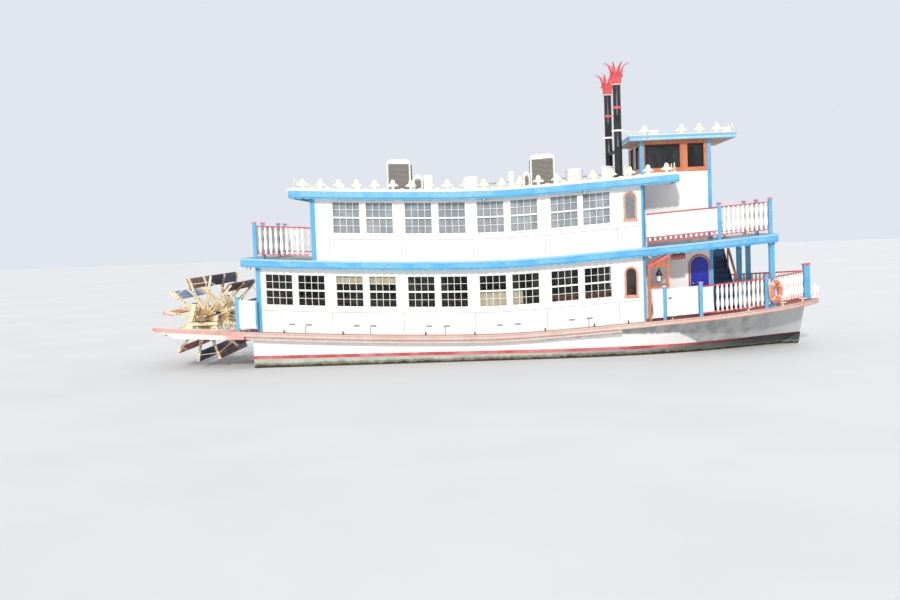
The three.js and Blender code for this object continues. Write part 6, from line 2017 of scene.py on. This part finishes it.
# %% Star, cleats and post trim
turn = np.pi / 2 + 2 * np.pi * np.arange(40) / 40
saw = np.abs(np.mod((turn - np.pi / 2) * 5 / (2 * np.pi), 1.0) * 2 - 1)
star_r = 0.075 + 0.115 * saw ** 1.3
star_layers = [np.stack([10.575 + star_r * k * np.cos(turn), 0 * turn + y,
                         1.96 + star_r * k * np.sin(turn)], -1)
               for k, y in ((0.55, -0.035), (1.0, -0.012), (1.0, 0.012), (0.55, 0.035))]
star = grid(np.array(star_layers), around=True)
star_foot = deck_z(10.5)
star_arm = merge([beam((10.36, 0, star_foot + 0.2), (10.5, 0, 1.93), 0.03, 0.04),
                  bricks([[10.34, 10.6, -0.05, 0.05, star_foot, star_foot + 0.05]]),
                  beam((10.54, 0, star_foot + 0.03), (10.56, 0, 1.92), 0.03, 0.035, up=(0, 1, 0))])
put("bow_star", [(merge([star, star_arm]), trim_white)], "white_paint", smooth=35)

cleat_post = lathe([[0.05, 0.0], [0.045, 0.012], [0.02, 0.03], [0.018, 0.07], [0.024, 0.09]], sides=12)
horn_x = np.linspace(-0.15, 0.15, 13)
horn_r = 0.02 * (1 - 0.55 * (horn_x / 0.15) ** 2)
horn = grid(np.stack([np.stack([horn_x, horn_r * c, 0.092 + 0.02 * (horn_x / 0.15) ** 2 + horn_r * s], -1)
                      for c, s in zip(np.cos(2 * np.pi * np.arange(10) / 10),
                                      np.sin(2 * np.pi * np.arange(10) / 10))], 1), around=True)
CLEATS = [(8.95, -1.68), (7.6, -2.42), (4.95, -2.75), (-9.62, -2.7), (9.9, -0.75)]
cleat_spots = np.array([[x, y, deck_z(x)] for x, y in CLEATS])
put("deck_cleats", [(both(copies(merge([cleat_post, horn]), cleat_spots)), cresting_cream)], "iron",
    smooth=45)

POSTS = [(8.57, -1.807), (7.84, 0.0), (8.57, 1.807)]
TRIMS = [(0.001, 0.12, 0.105), (0.12, 0.14, 0.095), (2.05, 2.08, 0.097), (2.16, 2.24, 0.105)]
post_trim = merge([square_posts([post], low, high, half) for post in POSTS for low, high, half in TRIMS])
put("deck_post_trim", [(post_trim, azure)], "blue_paint", smooth=30)
print("fittings made; pieces so far:", len(pieces))

# %% [markdown]
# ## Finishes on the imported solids
# The walls, decks, doors and posts keep their solids and take the paints made above. Every one of them
# gets a procedural material, and the ones inside or under water are not left out, because the boat is
# looked at from every side.

# %% Materials on the solids
cap_paint = deck_paint("pilothouse_roof_paint", rgb(228, 228, 222), rgb(208, 206, 196),
                       rgb(138, 206, 242), rgb(180, 222, 244), rgb(196, 168, 148), 0.9)
FINISHES = {"engine": machine_grey, "rudder_": fouled_iron, "main_deck": main_deck_paint,
            "stern_arm_": stern_arm_paint, "bearing_frame_": timber, "lower_wall_": wall_white,
            "upper_wall_": wall_white, "lower_glass_": lower_glass, "upper_glass_": upper_glass,
            "lower_fore_door": royal, "upper_aft_door": royal, "upper_fore_door": royal,
            "upper_deck": upper_deck_paint, "roof": roof_paint, "deckhouse_wall_": wall_white,
            "deckhouse_door_": royal, "pilothouse_wall_": wall_white, "pilothouse_glass": pilot_glass,
            "pilothouse_roof": cap_paint, "fore_deck_posts": azure,}
for name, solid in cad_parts.items():
    finish = [made for start_of, made in FINISHES.items() if name.startswith(start_of)]
    solid.data.materials.clear()
    solid.data.materials.append(finish[-1] if finish else machine_grey)
print("solids with a finish:", sum(any(name.startswith(key) for key in FINISHES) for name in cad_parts))

# %% [markdown]
# ## The camera, the light and the floor
# The photograph was taken from the shore, nearly level and from abeam, opposite the middle of the boat.
# The camera's place and angles come from the boat's own measures seen in it. The light is a warm key
# from abeam to starboard, some thirty degrees up, with a weak fill from the other side and a pale
# surround. The floor lies at the waterline, since the boat floats.

# %% Camera
CAMERA_AT = Vector((-1.209, -41.474, 4.372))
YAW, PITCH_DOWN, ROLL = -0.03665, -0.05732, -0.03574
LENS = 45.2
forward_axis = Vector((math.sin(YAW) * math.cos(PITCH_DOWN), math.cos(YAW) * math.cos(PITCH_DOWN),
                       math.sin(PITCH_DOWN)))
level_right = Vector((math.cos(YAW), -math.sin(YAW), 0))
level_up = level_right.cross(forward_axis)
right_axis = math.cos(ROLL) * level_right + math.sin(ROLL) * level_up
up_axis = -math.sin(ROLL) * level_right + math.cos(ROLL) * level_up
camera_data = bpy.data.cameras.new("shore_camera")
camera_data.lens, camera_data.sensor_width, camera_data.clip_end = LENS, 36.0, 500.0
camera = bpy.data.objects.new("shore_camera", camera_data)
turn_matrix = Matrix((right_axis, up_axis, -forward_axis)).transposed().to_4x4()
camera.matrix_world = Matrix.Translation(CAMERA_AT) @ turn_matrix
bpy.context.scene.collection.objects.link(camera)
bpy.context.scene.camera = camera
print("camera looks along", [round(v, 3) for v in forward_axis])

# %% Light and floor
SUN_FROM = Vector((-0.1, -0.72, 0.4))
sun_data = bpy.data.lights.new("key", "SUN")
sun_data.energy, sun_data.angle, sun_data.color = 2.15, 0.06, (1.0, 0.96, 0.9)
sun = bpy.data.objects.new("key", sun_data)
sun.rotation_euler = SUN_FROM.to_track_quat("Z", "Y").to_euler()
bpy.context.scene.collection.objects.link(sun)
world = bpy.data.worlds.new("surround")
bpy.context.scene.world = world
world.use_nodes = True
world.node_tree.nodes["Background"].inputs["Color"].default_value = (0.88, 0.92, 1.0, 1.0)
world.node_tree.nodes["Background"].inputs["Strength"].default_value = 0.86
fill_data = bpy.data.lights.new("fill", "SUN")
fill_data.energy, fill_data.angle, fill_data.color = 0.5, 1.2, (0.92, 0.96, 1.0)
fill = bpy.data.objects.new("fill", fill_data)
fill.rotation_euler = Vector((0.35, 0.7, 0.5)).to_track_quat("Z", "Y").to_euler()
bpy.context.scene.collection.objects.link(fill)
floor_mesh = bpy.data.meshes.new("floor")
FLOOR = 220.0
floor_mesh.from_pydata([(-FLOOR, -FLOOR, 0), (FLOOR, -FLOOR, 0), (FLOOR, FLOOR, 0), (-FLOOR, FLOOR, 0)],
                       [], [(0, 1, 2, 3)])
floor = bpy.data.objects.new("floor", floor_mesh)
floor_paint, floor_tree, floor_shader, floor_place = start("studio_floor")
floor_tone = ramp(floor_tree, noise(floor_tree, floor_place, 0.2, 2.0), 0.3, 0.7)
floor_tree.links.new(blend(floor_tree, floor_tone, rgb(214, 214, 212), rgb(218, 218, 216)),
                     floor_shader.inputs["Base Color"])
floor_shader.inputs["Roughness"].default_value = 0.7
floor_mesh.materials.append(floor_paint)
bpy.context.scene.collection.objects.link(floor)
bpy.context.scene.view_settings.view_transform = "Standard"
print("floor at the waterline")

# %% [markdown]
# ## The count
# The number of pieces and of their faces is printed. The dressed boat must stay as large as the
# imported one.

# %% Pieces and faces
print(len(pieces), "pieces,", sum(pieces.values()), "faces")
